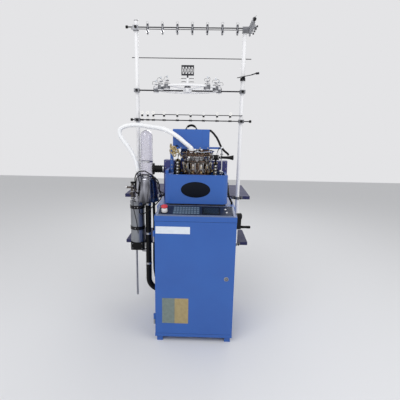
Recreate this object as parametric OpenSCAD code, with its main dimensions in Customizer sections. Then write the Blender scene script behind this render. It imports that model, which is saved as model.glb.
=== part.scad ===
// Circular sock knitting machine with its yarn creel and suction unit.
// Millimetres. X to the right, Y to the back, Z up, origin on the floor under the middle of the cabinet.

/* [Cabinet] */
// Width of the cabinet
cab_w = 560; // [540:5:600]
// Depth of the cabinet
cab_d = 520; // [510:5:560]
// Height of the front edge of the cabinet's top
cab_h = 950; // [930:5:990]
// Rise of the deck behind the console above the front edge
deck_rise = 35; // [25:1:45]
// Thickness of the sheet steel
sheet = 2; // [1.5:0.5:3]
// Height of the floor skids
skid_h = 40; // [30:1:60]
// Width of a floor skid
skid_w = 42; // [36:1:60]
// Wall of the skid tube
skid_wall = 3; // [2:0.5:4]
// Distance of the skids inside the cabinet's sides
skid_inset = 12; // [6:1:30]

/* [Door] */
// Depth of the door pan
door_t = 20; // [18:1:28]
// Gap round the door
door_gap = 2; // [1.5:0.5:4]
// Height of the rail under the door
rail_h = 24; // [20:1:40]
// Height of the fascia above the door
fascia_h = 36; // [30:1:50]
// Width of the frame flange behind the door
flange_w = 25; // [20:1:30]
// Radius of a hinge knuckle
knuckle_r = 7; // [6:0.5:9]
// Radius of a hinge pin
hinge_pin_r = 3.5; // [3:0.25:4.5]
// Length of half a hinge
knuckle_len = 40; // [30:1:55]
// Distance of the hinges from the ends of the door
hinge_end = 110; // [80:5:180]
// Running clearance of pins and shafts, on the radius
run_gap = 0.05; // [0.03:0.01:0.08]
// Distance of the lock from the door's free edge
lock_edge = 56; // [50:1:64]
// Height of the lock above the door's lower edge
lock_up = 436; // [300:2:560]
// Radius of the lock barrel
lock_r = 8; // [7:0.5:10]

/* [Console] */
// Depth of the sloping console
console_d = 150; // [135:1:165]
// Width of the console housing
console_w = 540; // [520:2:540]
// Width of the glass panel
panel_w = 508; // [480:2:512]
// Thickness of the glass panel
panel_t = 5; // [4:0.5:6]
// Thickness of the console's front lip
lip_t = 4; // [3:0.5:6]
// Distance of the stop button from the panel's middle
stop_x = 215; // [205:1:220]
// Radius of the stop button's collar
collar_r = 19; // [16:0.5:21]
// Height of the stop button's collar
collar_h = 30; // [24:1:36]
// Radius of the mushroom head
mush_r = 23; // [20:0.5:26]
// Travel of the stop button
mush_travel = 4; // [3:0.5:5]
// Radius of a small push button
key_r = 6; // [5:0.5:8]
// Travel of a small push button
key_travel = 1.5; // [1:0.25:2]

/* [Drive] */
// Needle axis, behind the cabinet's middle
head_y = 40; // [36:1:44]
// Height of the main shaft above the floor
shaft_z = 880; // [870:1:884]
// Radius of the main shaft
shaft_r = 12; // [10:0.5:14]
// Length of the crank arm between hub and grip
crank_len = 84; // [70:1:100]
// Radius of the crank hub
hub_r = 25; // [20:0.5:28]
// Radius of the crank's grip
grip_r = 11; // [9:0.5:14]
// Length of the crank's grip
grip_len = 74; // [60:1:80]
// Teeth of each bevel gear
gear_teeth = 20; // [16:4:24]
// Pitch radius of the gears
gear_r = 60; // [56:1:62]
// Height of a gear tooth
tooth_h = 8; // [6:0.5:9]
// Radius of the pulley on the main shaft
big_pulley_r = 60; // [54:1:66]
// Radius of the motor pulley
small_pulley_r = 30; // [26:1:34]
// Width of the belt
belt_w = 16; // [12:1:20]
// Thickness of the belt
belt_t = 4; // [3:0.5:5]
// Distance of the belt from the cabinet's middle
belt_x = 215; // [205:1:225]
// Height of the motor axis above the cabinet's floor
motor_z = 110; // [100:1:130]
// Radius of the motor
motor_r = 62; // [55:1:70]
// Length of the motor
motor_len = 170; // [140:1:190]

/* [Knitting head] */
// Width of the head casing
casing_w = 454; // [440:2:470]
// Distance of the casing's front behind the cabinet's front
casing_back = 170; // [162:1:176]
// Height of the casing's top above the deck
casing_top = 225; // [215:1:235]
// Gap under the casing
casing_gap = 15; // [10:1:20]
// Corner radius of the casing
casing_r = 42; // [30:1:50]
// Wall of the casing
casing_t = 3; // [2:0.5:4]
// Height of the bed above the deck
bed_up = 193; // [188:1:198]
// Thickness of the bed
bed_t = 18; // [14:1:22]
// Radius of the needle cylinder
cyl_r = 50; // [46:1:52]
// Wall of the needle cylinder
cyl_wall = 12; // [10:0.5:14]
// Height of the needle cylinder
cyl_h = 130; // [124:1:134]
// Number of needle slots
needles = 60; // [40:4:84]
// Depth of a needle slot
slot_deep = 3; // [2:0.5:4]
// Width of a needle slot
slot_w = 2; // [1:0.25:2.5]
// Outer radius of the cam ring
cam_r = 106; // [100:1:107]
// Height of the cam ring's base
cam_base = 36; // [30:1:42]
// Height of a selector block
block_h = 68; // [60:1:72]
// Number of selector blocks
blocks = 12; // [8:1:14]
// Thickness of the sinker ring
sinker_t = 16; // [12:1:20]
// Radius of the dial
dial_r = 46; // [40:1:48]
// Thickness of the dial
dial_t = 10; // [8:1:12]
// Radius of the dial cap
cap_r = 92; // [86:1:94]
// Thickness of the dial cap
cap_t = 14; // [12:1:16]
// Radius of the dial shaft
dial_shaft_r = 9; // [7:0.5:10]
// Height of the actuators on the dial cap
actuator_h = 30; // [24:1:33]
// Thickness of the bracket plate above the dial
arm_t = 14; // [10:1:16]
// Pitch of the yarn fingers
finger_pitch = 14; // [13:0.5:15]
// Thickness of a yarn finger
finger_t = 6; // [5:0.5:8]
// Width of the top box
box_w = 266; // [250:2:280]
// Depth of the top box
box_d = 160; // [150:2:170]
// Height of the top box
box_h = 126; // [116:1:136]
// Height of the box's handle
handle_h = 28; // [24:1:34]
// Height of the rear housing above the deck
rear_h = 304; // [296:1:310]

/* [Suction unit] */
// Middle of the collector, left of the cabinet's side
can_out = 118; // [114:1:124]
// Collector, behind the cabinet's middle
can_y = 170; // [166:1:176]
// Radius of the collector's foot
can_r = 94; // [90:1:96]
// Radius of the collector's neck
neck_r = 74; // [68:1:80]
// Height of the collector
can_h = 196; // [180:2:210]
// Wall of the collector
can_t = 2; // [1.5:0.5:3]
// Radius of the clear tube
clear_r = 48; // [44:1:52]
// Wall of the clear tube
clear_t = 4; // [3:0.5:5]
// Height of the clear tube with its dome
clear_h = 359; // [340:1:380]
// Radius of the black side hose
side_hose_r = 29; // [25:1:32]
// Radius of the filter cylinder
filter_r = 57; // [52:1:58]
// Height of the filter cylinder
filter_h = 338; // [320:2:350]
// Radius of the suction pipe
pipe_r = 23; // [20:1:25]
// Bend radius of the suction pipe
pipe_bend = 100; // [90:1:110]
// Radius of the drain pipe
drain_r = 8; // [6:0.5:10]

/* [Creel] */
// Radius of a creel post
post_r = 15; // [13:0.5:17]
// Wall of a creel post
post_wall = 2; // [1.5:0.5:3]
// Left creel post, from the cabinet's side
post_left = 200; // [195:1:210]
// Right creel post, from the cabinet's side
post_right = 55; // [50:1:70]
// Height of the creel's top rod
top_z = 2262; // [2200:2:2300]
// Height of the thin cross rod
cross_z = 2058; // [2000:2:2100]
// Height of the ring's bar
ring_z = 1815; // [1780:1:1850]
// Height of the lower rack
rack_z = 1594; // [1560:1:1640]
// Distance between the two rods of the lower rack
rack_gap = 42; // [36:1:50]
// Radius of the rack rods
rod_r = 4; // [3:0.5:5]
// Number of tensioners on the top rod
tensioners = 7; // [5:1:8]
// Distance from the right creel post to the nearest tensioner
tension_side = 59; // [45:1:75]
// Radius of the yarn ring
ring_r = 255; // [240:1:270]
// Depth of the upper shelf
shelf_deep = 570; // [500:5:620]
// Depth of the lower shelf
low_shelf_deep = 360; // [320:5:420]
// Height of the upper shelf
shelf_z = 990; // [960:1:1010]
// Height of the lower shelf
low_shelf_z = 588; // [560:1:620]
// Reach of the shelves past the left creel post
shelf_left = 122; // [100:1:140]
// Reach of the shelves past the right creel post
shelf_right = 106; // [90:1:120]
// Height of a shelf's folded rim
rim_h = 26; // [22:1:32]

/* [Hidden] */
$fn = 48;
eps = 0.01;
half_w = cab_w / 2;
front_y = -cab_d / 2;
back_y = cab_d / 2;
deck_z = cab_h + deck_rise;
console_y = front_y + console_d;
panel_tilt = atan(deck_rise / console_d);
floor_z = skid_h + sheet;

// Door
door_w = cab_w - 2 * door_gap;
door_low = skid_h + rail_h + door_gap;
door_high = cab_h - fascia_h - door_gap;
door_back = door_t - 1;
hinge_x = -door_w / 2 - knuckle_r - 0.5;
hinge_y = front_y + door_t / 2;
hinge_zs = [door_low + hinge_end, door_high - hinge_end];
lock_x = door_w / 2 - lock_edge;
lock_z = door_low + lock_up;
plug_r = 5;

// Drive
post_y = back_y + post_r - 7;
vertical_r = cyl_r - cyl_wall - 4;
vertical_in = vertical_r - 6;
seat_gap = 0.3;
crown_z = shaft_z + gear_r + 2;
bearing_t = 28;
crank_x = half_w + bearing_t + 6;
crank_t = 34;
pin_r = 5;
motor_axis = floor_z + motor_z;
belt_gap = 0.3;
hub_hole = 42;

// Head
casing_front = front_y + casing_back;
casing_back_y = head_y + 118;
casing_mid = -3;
bed_top = deck_z + bed_up;
casing_z = deck_z + casing_top;
cyl_z = bed_top + 8;
bank_h = 66;
column_h = 122;
right_bank_h = 104;
block_top = bed_top + cam_base + block_h;
cyl_top = cyl_z + cyl_h;
dial_z = cyl_top + 5;
cap_z = dial_z + dial_t + 5;
arm_z = cap_z + cap_t + 36;
box_z = arm_z + arm_t;
box_front = head_y - 20;
box_mid = -47;
rear_front = head_y + 120;
rear_back = back_y - 2;
finger_x = -150;
ledge_left = 58;
ledge_right = 22;
fairing_w = 24;
fairing_h = 30;
post_x1 = -202;
post_x2 = -179;
post_y1 = head_y + 18;
post_y2 = head_y + 44;
finger_z = arm_z - 16;
finger_y = head_y - 40;
rod_x = 181;
rod_y = head_y + 20;
nozzle = [-40, 2];
nozzle_top = cap_z + cap_t + 22;

// Suction unit
can_x = -half_w - can_out;
can_z = deck_z - 23;
clear_z = can_z + can_h;
filter_x = -half_w - post_left;
filter_y = post_y - post_r - 6 - filter_r;
filter_z = can_z - 6 - filter_h;
pipe_x = can_x + 8;
pipe_low = 290;
port_z = clear_z + 60;
valve_box_h = 72;

// Creel
left_x = -half_w - post_left;
right_x = half_w + post_right;
rod_front = post_y - post_r - rod_r - 5;
shelf_front = post_y + post_r;
post_foot = low_shelf_z - 34;
left_top = top_z + 56;
right_top = top_z + 4;
tension_left = left_x + 90;
tension_pitch = (right_x - tension_side - tension_left) / (tensioners - 1);
ring_mid = -88;
ball_r = 9;
thin_rod_r = 2.5;
thin_rod_drop = 13;
side_rod_x = right_x + 28;
side_rod_z = top_z - 18;
eyelet_xs = [
    left_x + 39, left_x + 83, left_x + 127, left_x + 211, left_x + 315, left_x + 419,
    right_x - 295, right_x - 189, right_x - 87];

// Routes of the hoses and cables, in millimetres, chosen by hand. They were drawn with the collector
// at drawn_can_x, and their left part follows it where it stands elsewhere
drawn_can_x = -398;
casing_side_x = -230;
function with_can(route) = [
    for (p = route) [
        p[0] + (can_x - drawn_can_x) * min(1, max(0, (p[0] - casing_side_x) / (drawn_can_x - casing_side_x))),
        p[1], p[2]]];
white_route = with_can([
    [-40, 2, 1372.3], [-40, 2, 1381], [-48, 0, 1394], [-66, -4, 1410], [-92, -8, 1430],
    [-126, -8, 1459], [-172, -5, 1490], [-230, 20, 1517], [-294, 58, 1532], [-365, 94, 1541],
    [-421, 118, 1549], [-478, 138, 1551], [-534, 152, 1546], [-579, 156, 1532], [-602, 156, 1507],
    [-600, 154, 1476], [-568, 149, 1430], [-527, 141, 1375], [-490, 132, 1316], [-469, 122, 1258],
    [-459, 118, 1208.3], [-454, 118, 1188.3]]);
loop_route = with_can([
    [-473, 83, 1068.4], [-473, 83, 1084], [-475, 82, 1118], [-475, 83, 1156], [-465, 82, 1185],
    [-440, 78, 1206], [-395, 72, 1211], [-343, 70, 1180], [-300, 74, 1142], [-286, 78, 1100],
    [-288, 78, 1056], [-270, 66, 1030], [-244, 62, 1022], [-230.4, 62, 1022]]);
second_route = with_can([
    [-473, 103, 1068.4], [-473, 103, 1082], [-470, 96, 1120], [-462, 88, 1158], [-428, 78, 1181],
    [-381, 70, 1181], [-335, 66, 1158], [-300, 68, 1122], [-296, 76, 1080], [-278, 82, 1050],
    [-246, 80, 1038], [-230.4, 80, 1038]]);
lead_route = with_can([
    [-230.4, -46, 1056], [-240, -46, 1056], [-252, -46, 1042], [-270, -40, 1010], [-300, -18, 976],
    [-335, 10, 944], [-370, 38, 908], [-402, 60, 882], [-428, 66, 874], [-444, 72, 884],
    [-442, 84, 914], [-424, 98, 932], [-408, 108, 944], [-404, 110, 955.6]]);
grey_route = with_can([
    [-350, 206, 961.6], [-350, 206, 900], [-346, 204, 780], [-348, 202, 620], [-350, 202, 460],
    [-348, 202, 360], [-338, 204, 290], [-320, 206, 254], [-300, 206, 237], [-280.4, 206, 237]]);
conduit_route = [
    [86.4, 60, 1517], [96, 60, 1517], [116, 58, 1498], [141, 52, 1467], [156, 44, 1438],
    [168, 40, 1412], [182, 38, 1392], [198, 38, 1374], [216, 39, 1360], [226, 40, 1352],
    [228, 40, 1342]];
side_cable_route = [
    [233.3, 90, 1130], [233.3, 66, 1106], [236, 40, 1066], [242, 24, 1040], [254, 2, 1014],
    [262, -14, 998], [262, -14, 985.4]];

// A bar of round section between two points on one axis
module bar_x(r, x1, x2, y, z) translate([x1, y, z]) rotate([0, 90, 0]) cylinder(r = r, h = x2 - x1);
module bar_y(r, x, y1, y2, z) translate([x, y1, z]) rotate([-90, 0, 0]) cylinder(r = r, h = y2 - y1);
module bar_z(r, x, y, z1, z2) translate([x, y, z1]) cylinder(r = r, h = z2 - z1);

// A box given by its two corners
module block(a, b) translate(a) cube(b - a);

// A rectangle with round corners, centred on X and starting at Y = 0
module round_rect(w, d, r) {
    translate([-w / 2 + r, 0]) square([w - 2 * r, d]);
    translate([-w / 2, r]) square([w, d - 2 * r]);
    for (x = [-w / 2 + r, w / 2 - r])
        for (y = [r, d - r])
            translate([x, y]) circle(r = r);
}

// A flat link with round ends between two points of a plane
module link(a, b, w) {
    d = b - a;
    translate(a) rotate(atan2(d[1], d[0])) translate([0, -w / 2]) square([norm(d), w]);
    translate(a) circle(d = w);
    translate(b) circle(d = w);
}

// Sweeping a round section along a route
function unit(v) = v / norm(v);
function tangent(p, i) =
    i == 0 ? unit(p[1] - p[0]) :
    i == len(p) - 1 ? unit(p[i] - p[i - 1]) :
    unit(unit(p[i + 1] - p[i]) + unit(p[i] - p[i - 1]));
function across(t) = unit(cross(t, abs(t[2]) < 0.9 ? [0, 0, 1] : [1, 0, 0]));
function side_vectors(p, i = 0, done = []) =
    i == len(p) ? done :
    let (t = tangent(p, i), last = i == 0 ? across(t) : done[i - 1])
    side_vectors(p, i + 1, concat(done, [unit(last - (last * t) * t)]));

module sweep(p, r, sides = 8) {
    n = side_vectors(p);
    points = [
        for (i = [0 : len(p) - 1], k = [0 : sides - 1])
            let (a = 360 * k / sides, t = tangent(p, i))
            p[i] + r * (cos(a) * n[i] + sin(a) * cross(t, n[i]))];
    last = (len(p) - 1) * sides;
    walls = [
        for (i = [0 : len(p) - 2], k = [0 : sides - 1])
            let (a = i * sides + k, b = i * sides + (k + 1) % sides)
            [a, a + sides, b + sides, b]];
    ends = [[for (k = [0 : sides - 1]) k], [for (k = [sides - 1 : -1 : 0]) last + k]];
    polyhedron(points, concat(walls, ends), convexity = 6);
}

// Two skids of square tube joined across the back
module skid_outline(inset) {
    x1 = half_w - skid_inset - inset;
    x2 = half_w - skid_inset - skid_w + inset;
    y1 = front_y + skid_inset + inset;
    y2 = back_y - inset;
    polygon([
        [-x1, y1], [-x2, y1], [-x2, y2 - skid_w + 2 * inset], [x2, y2 - skid_w + 2 * inset],
        [x2, y1], [x1, y1], [x1, y2], [-x1, y2]]);
}

module base_skids() color("royalblue") difference() {
    linear_extrude(skid_h) skid_outline(0);
    translate([0, 0, skid_wall]) linear_extrude(skid_h - 2 * skid_wall) skid_outline(skid_wall);
}

// Folded steel cabinet with an open front, a fascia, a bottom rail and a raised deck
module cabinet_profile(inset) {
    polygon([
        [front_y + inset, skid_h + inset], [back_y - inset, skid_h + inset],
        [back_y - inset, deck_z - inset], [console_y + inset, deck_z - inset],
        [console_y + inset, cab_h - inset], [front_y + inset, cab_h - inset]]);
}

module along_x(w) translate([-w / 2, 0, 0]) rotate([90, 0, 90]) linear_extrude(w) children();

module cabinet_body() {
    frame_y = front_y + door_t;
    in_w = cab_w - 2 * sheet;
    color("royalblue") difference() {
        along_x(cab_w) cabinet_profile(0);
        block([-half_w - 1, front_y - 1, skid_h + rail_h], [half_w + 1, frame_y, cab_h - fascia_h]);
        // Space inside, behind the door frame
        intersection() {
            along_x(in_w) cabinet_profile(sheet);
            block([-half_w, frame_y + sheet, skid_h], [half_w, back_y, deck_z]);
        }
        // Hollow fascia and rail
        block([-in_w / 2, front_y + sheet, cab_h - fascia_h + sheet], [in_w / 2, frame_y + sheet + 1, cab_h - sheet]);
        block([-in_w / 2, front_y + sheet, skid_h + sheet], [in_w / 2, frame_y + sheet + 1, skid_h + rail_h - sheet]);
        // Doorway
        block([-half_w + flange_w, frame_y - 1, door_low + flange_w / 2],
              [half_w - flange_w, frame_y + sheet + 1, door_high - flange_w / 2]);
        // Holes for the needle shaft, the main shaft and the suction pipe
        bar_z(hub_hole, 0, head_y, deck_z - sheet - 1, deck_z + 1);
        bar_x(shaft_r + 3, half_w - sheet - 1, half_w + 1, head_y, shaft_z);
        bar_x(pipe_r + 1, -half_w - 1, -half_w + sheet + 1, can_y, pipe_low - pipe_bend);
    }
}

// Door pan with folded edges and the upper halves of its weld-on hinges
module door_panel() {
    lip = 14;
    color("royalblue") difference() {
        union() {
            block([-door_w / 2, front_y, door_low], [door_w / 2, front_y + door_back, door_high]);
            for (z = hinge_zs) {
                bar_z(knuckle_r, hinge_x, hinge_y, z, z + knuckle_len);
                block([hinge_x, hinge_y - 2, z], [-door_w / 2 + eps, hinge_y + 2, z + knuckle_len]);
            }
        }
        block([-door_w / 2 + sheet, front_y + sheet, door_low + sheet],
              [door_w / 2 - sheet, front_y + door_back - sheet, door_high - sheet]);
        block([-door_w / 2 + lip, front_y + sheet, door_low + lip],
              [door_w / 2 - lip, front_y + door_back + 1, door_high - lip]);
        for (z = hinge_zs)
            bar_z(hinge_pin_r + run_gap, hinge_x, hinge_y, z - 1, z + knuckle_len + 1);
        bar_y(lock_r, lock_x, front_y - 1, front_y + sheet + 1, lock_z);
    }
}

// Lower hinge halves, each turned in one piece with its pin, on their welded leaves
module hinge_pins() color("silver") for (z = hinge_zs) {
    bar_z(knuckle_r, hinge_x, hinge_y, z - knuckle_len, z - 0.3);
    bar_z(hinge_pin_r, hinge_x, hinge_y, z - 1, z + knuckle_len - 2);
    block([-half_w - 3, hinge_y, z - knuckle_len], [-half_w, front_y + door_t + 24, z - 0.3]);
}

// Cam lock
module lock_barrel() color("gainsboro") difference() {
    union() {
        bar_y(lock_r + 4, lock_x, front_y - 4, front_y, lock_z);
        bar_y(lock_r, lock_x, front_y - 1, front_y + door_t - 3, lock_z);
    }
    bar_y(plug_r + run_gap, lock_x, front_y - 5, front_y + door_t, lock_z);
}

module lock_cam() {
    cam_y = front_y + door_t + sheet + 1.5;
    color("silver") difference() {
        union() {
            bar_y(plug_r, lock_x, front_y - 3.5, cam_y, lock_z);
            translate([lock_x, cam_y + 3, lock_z]) rotate([90, 0, 0]) linear_extrude(3)
                link([0, 0], [0, -lock_edge + flange_w / 2 + 6], 16);
        }
        block([lock_x - 0.7, front_y - 4, lock_z - 3.5], [lock_x + 0.7, front_y + 3, lock_z + 3.5]);
    }
}

// Sloping console of folded sheet on the front of the cabinet
module on_panel(x, s) {
    translate([x, front_y, cab_h + lip_t]) rotate([panel_tilt, 0, 0]) translate([0, s, 0]) children();
}

module console_profile(inset) {
    polygon([
        [front_y + inset, cab_h], [console_y - inset, cab_h],
        [console_y - inset, deck_z + lip_t - inset], [front_y + inset, cab_h + lip_t - inset]]);
}

function key_places() = [[console_w / 2 - 65, 96], [console_w / 2 - 59, 48]];

module console_housing() color("lightsteelblue") difference() {
    along_x(console_w) console_profile(0);
    along_x(console_w - 2 * sheet) polygon([
        [front_y + 30, cab_h - 1], [console_y - sheet, cab_h - 1], [console_y - sheet, deck_z + lip_t - 2 * sheet],
        [front_y + 30, cab_h + 30 * tan(panel_tilt) + lip_t - 2 * sheet]]);
    for (p = key_places())
        on_panel(p[0], p[1]) translate([0, 0, -20]) cylinder(r = key_r + 2, h = 30);
}

// Toughened glass panel with its recessed key field and display window
module control_panel() {
    slope = console_d / cos(panel_tilt);
    color("darkslategray") difference() {
        on_panel(0, 2) translate([-panel_w / 2, 0, 0]) cube([panel_w, slope - 8, panel_t]);
        on_panel(-60, 18) translate([-98, 0, panel_t - 0.6]) cube([184, slope - 40, 2]);
        on_panel(112, 18) translate([-70, 0, panel_t - 0.6]) cube([126, slope - 40, 2]);
        for (p = key_places())
            on_panel(p[0], p[1]) translate([0, 0, -1]) cylinder(r = key_r + 0.3, h = panel_t + 2);
    }
}

module push_button(p) on_panel(p[0], p[1]) {
    translate([0, 0, -key_travel - 4]) cylinder(r = key_r, h = panel_t + key_travel + 7);
    translate([0, 0, -key_travel - 8]) cylinder(r = key_r / 2, h = 5);
}
module start_button() color("whitesmoke") push_button(key_places()[0]);
module stop_button() color("whitesmoke") push_button(key_places()[1]);

// Emergency stop
stop_s = 46;
stem_r = 6;
module estop_collar() color("whitesmoke") on_panel(-stop_x, stop_s) translate([0, 0, panel_t]) difference() {
    rotate_extrude() polygon([
        [stem_r + run_gap, 0], [collar_r, 0], [collar_r, collar_h - 8], [collar_r - 5, collar_h],
        [stem_r + run_gap, collar_h]]);
    translate([0, 0, -1]) cylinder(r = stem_r + run_gap, h = 3);
}
module estop_head() {
    rise = collar_h + mush_travel + 0.6;
    color("crimson") on_panel(-stop_x, stop_s) translate([0, 0, panel_t]) {
        rotate_extrude() polygon(concat(
            [[0, rise], [mush_r - 3, rise], [mush_r, rise + 3], [mush_r, rise + 7]],
            [for (a = [15 : 15 : 75]) [mush_r * cos(a), rise + 7 + 10 * sin(a)]],
            [[0, rise + 17]]));
        translate([0, 0, mush_travel + 1]) cylinder(r = stem_r, h = rise - mush_travel);
    }
}

// Flange bearing on the cabinet's side and its inner pillow block
module crank_bearing() color("dimgray") {
    difference() {
        union() {
            translate([half_w, head_y, shaft_z]) rotate([0, 90, 0]) linear_extrude(6)
                translate([0, -34]) round_rect(68, 68, 12);
            bar_x(24, half_w, half_w + bearing_t, head_y, shaft_z);
        }
        bar_x(shaft_r + run_gap, half_w - 1, half_w + bearing_t + 1, head_y, shaft_z);
    }
    difference() {
        block([110, head_y - 26, shaft_z - 24], [134, head_y + 26, deck_z - sheet]);
        bar_x(shaft_r + run_gap, 109, 135, head_y, shaft_z);
    }
}

// Main shaft with its pulley and the straight-toothed gear under the crown gear
module main_shaft() color("silver") {
    difference() {
        union() {
            bar_x(shaft_r, gear_r - 20, crank_x + crank_t - 8, head_y, shaft_z);
            bar_x(big_pulley_r, belt_x - belt_w / 2 - 1, belt_x + belt_w / 2 + 1, head_y, shaft_z);
            for (s = [-1, 1])
                bar_x(big_pulley_r + belt_t + 3, belt_x + s * (belt_w / 2 + 3) - 2, belt_x + s * (belt_w / 2 + 3) + 2, head_y, shaft_z);
        }
        for (a = [0 : 60 : 300])
            translate([0, head_y, shaft_z]) rotate([a, 0, 0])
                bar_x(10, belt_x - belt_w, belt_x + belt_w, 36, 0);
    }
    translate([gear_r - 5, head_y, shaft_z]) rotate([0, 90, 0]) linear_extrude(10) {
        circle(r = gear_r - tooth_h + 1);
        for (k = [0 : gear_teeth - 1])
            rotate(180 + k * 360 / gear_teeth) translate([gear_r - tooth_h, 0]) polygon([
                [-0.5, -3.2], [tooth_h - 1, -1.6], [tooth_h - 1, 1.6], [-0.5, 3.2]]);
    }
}

// Crank arm, cast with a hub and a boss
module crank_arm() color("black") difference() {
    union() {
        translate([crank_x, head_y, shaft_z]) rotate([90, 0, 90]) linear_extrude(crank_t - 4) {
            circle(r = hub_r);
            translate([0, -crank_len]) circle(r = hub_r - 6);
            polygon([
                [-hub_r + 1, -4], [hub_r - 1, -4], [hub_r - 7, -crank_len], [-hub_r + 7, -crank_len]]);
        }
        bar_x(hub_r - 3, crank_x, crank_x + crank_t, head_y, shaft_z);
        bar_x(hub_r - 9, crank_x, grip_start - 0.5, head_y, shaft_z - crank_len);
        bar_x(pin_r, crank_x, grip_start + grip_len - 8, head_y, shaft_z - crank_len);
    }
    bar_x(shaft_r + run_gap, crank_x - 1, crank_x + crank_t - 8, head_y, shaft_z);
}

// Grip on its pin
grip_start = crank_x + crank_t - 3.5;
module crank_grip() color("black") translate([grip_start, head_y, shaft_z - crank_len]) rotate([0, 90, 0])
    rotate_extrude() polygon([
        [pin_r + run_gap, 0], [grip_r - 2, 0], [grip_r, 5], [grip_r - 1.5, grip_len * 0.4], [grip_r, grip_len - 6],
        [grip_r - 3, grip_len], [0, grip_len], [0, grip_len - 7], [pin_r + run_gap, grip_len - 7]]);

// Drive motor on its foot
module drive_motor() {
    end_x = belt_x - belt_w / 2 - 12;
    color("slategray") {
        difference() {
            union() {
                bar_x(motor_r, end_x - motor_len, end_x, head_y, motor_axis);
                bar_x(motor_r + 4, end_x - 12, end_x, head_y, motor_axis);
                bar_x(motor_r + 4, end_x - motor_len, end_x - motor_len + 14, head_y, motor_axis);
                block([end_x - motor_len + 30, head_y - 60, floor_z], [end_x - 30, head_y + 60, floor_z + 12]);
                block([end_x - motor_len + 40, head_y - 36, floor_z], [end_x - 40, head_y + 36, motor_axis]);
            }
            bar_x(9 + run_gap, end_x - 40, end_x + 1, head_y, motor_axis);
        }
        block([end_x - motor_len + 50, head_y - 30, motor_axis + motor_r - 4],
              [end_x - motor_len + 110, head_y + 30, motor_axis + motor_r + 26]);
    }
}

module motor_pulley() {
    end_x = belt_x - belt_w / 2 - 12;
    color("silver") {
        bar_x(9, end_x - 36, belt_x + belt_w / 2 + 6, head_y, motor_axis);
        bar_x(small_pulley_r, belt_x - belt_w / 2 - 1, belt_x + belt_w / 2 + 1, head_y, motor_axis);
        for (s = [-1, 1])
            bar_x(small_pulley_r + belt_t + 3, belt_x + s * (belt_w / 2 + 3) - 2, belt_x + s * (belt_w / 2 + 3) + 2, head_y, motor_axis);
    }
}

// Outline of the belt round both pulleys, with its straight runs on their common tangents
module belt_outline(grow) {
    h = shaft_z - motor_axis;
    r1 = small_pulley_r + grow;
    r2 = big_pulley_r + grow;
    a = asin((r2 - r1) / h);
    translate([0, 0]) circle(r = r1);
    translate([0, h]) circle(r = r2);
    polygon([
        [r1 * cos(a), -r1 * sin(a)], [r2 * cos(a), h - r2 * sin(a)],
        [-r2 * cos(a), h - r2 * sin(a)], [-r1 * cos(a), -r1 * sin(a)]]);
}

module drive_belt() color("black") translate([belt_x - belt_w / 2, head_y, motor_axis])
    rotate([90, 0, 90]) linear_extrude(belt_w) difference() {
        belt_outline(belt_t + belt_gap);
        belt_outline(belt_gap);
    }

// Electrical box on the cabinet's back wall
module control_box() {
    color("lightgray") difference() {
        block([-120, back_y - sheet - 120, 420], [150, back_y - sheet, 760]);
        block([-118, back_y - sheet - 118, 422], [148, back_y - sheet - 2, 758]);
        for (k = [0 : 6])
            block([-90, back_y - sheet - 121, 470 + k * 14], [-20, back_y - sheet - 117, 476 + k * 14]);
    }
}

// Suction fan behind the pipe's entry
module suction_fan() {
    z = pipe_low - pipe_bend;
    fan_r = 84;
    x1 = -half_w + sheet;
    color("darkgray") {
        difference() {
            union() {
                bar_x(fan_r, x1 + 12, x1 + 96, can_y - 6, z);
                block([x1 + 12, can_y - 6 - fan_r, z], [x1 + 96, can_y - 6 - fan_r + 70, z + 118]);
                bar_x(pipe_r + 9, x1, x1 + 14, can_y, z);
                block([x1 + 20, can_y - 50, floor_z], [x1 + 88, can_y + 40, z - 50]);
            }
            bar_x(fan_r - 4, x1 + 16, x1 + 92, can_y - 6, z);
            bar_x(pipe_r, x1 - 1, x1 + 17, can_y, z);
            block([x1 + 16, can_y - 2 - fan_r, z + 60], [x1 + 92, can_y - fan_r + 58, z + 119]);
        }
        bar_x(46, x1 + 96, x1 + 170, can_y - 6, z);
    }
}

// Round-cornered casing round the knitting head, open at the top and the bottom
module casing_shape(inset) translate([casing_mid, casing_front + inset])
    round_rect(casing_w - 2 * inset, casing_back_y - casing_front - 2 * inset, casing_r - inset);

// Ledges stay round the opening in its top, wider at the left, where a fairing rises from it
module casing_opening(inset) difference() {
    casing_shape(inset);
    translate([casing_mid - casing_w / 2 - 1, casing_front]) square([ledge_left + 1, casing_back_y - casing_front]);
    translate([casing_mid + casing_w / 2 - ledge_right, casing_front])
        square([ledge_right + 1, casing_back_y - casing_front]);
}
module fairing_shape(inset) intersection() {
    casing_shape(inset);
    translate([casing_mid - casing_w / 2, casing_front + 50]) square([fairing_w, 200]);
}
module head_casing() {
    low = deck_z + casing_gap;
    rim = 8;
    rim_t = 6;
    color("royalblue") difference() {
        union() {
            translate([0, 0, low]) linear_extrude(casing_z - rim_t - low) casing_shape(0);
            translate([0, 0, casing_z - rim_t - eps]) linear_extrude(rim_t / 2) casing_shape(1.5);
            translate([0, 0, casing_z - rim_t / 2 - 2 * eps]) linear_extrude(rim_t / 2) casing_shape(4);
            translate([0, 0, casing_z - rim_t]) linear_extrude(fairing_h - 3) fairing_shape(3);
            translate([0, 0, casing_z - rim_t]) linear_extrude(fairing_h) fairing_shape(6);
        }
        translate([0, 0, low - 1]) linear_extrude(casing_z - low - casing_t) casing_shape(casing_t);
        translate([0, 0, low]) linear_extrude(casing_z - low + 40) casing_opening(rim + casing_t);
        translate([0, 0, casing_z - casing_t - 2]) linear_extrude(fairing_h - 7) intersection() {
            fairing_shape(3 + casing_t);
            translate([casing_mid - casing_w / 2, casing_front + 53]) square([fairing_w - casing_t, 200]);
        }
        // Hole that the bracket's post rises through
        block([post_x1 - 3, post_y1 - 3, casing_z - 12], [post_x2 + 3, post_y2 + 3, casing_z + 1]);
    }
}

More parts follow.
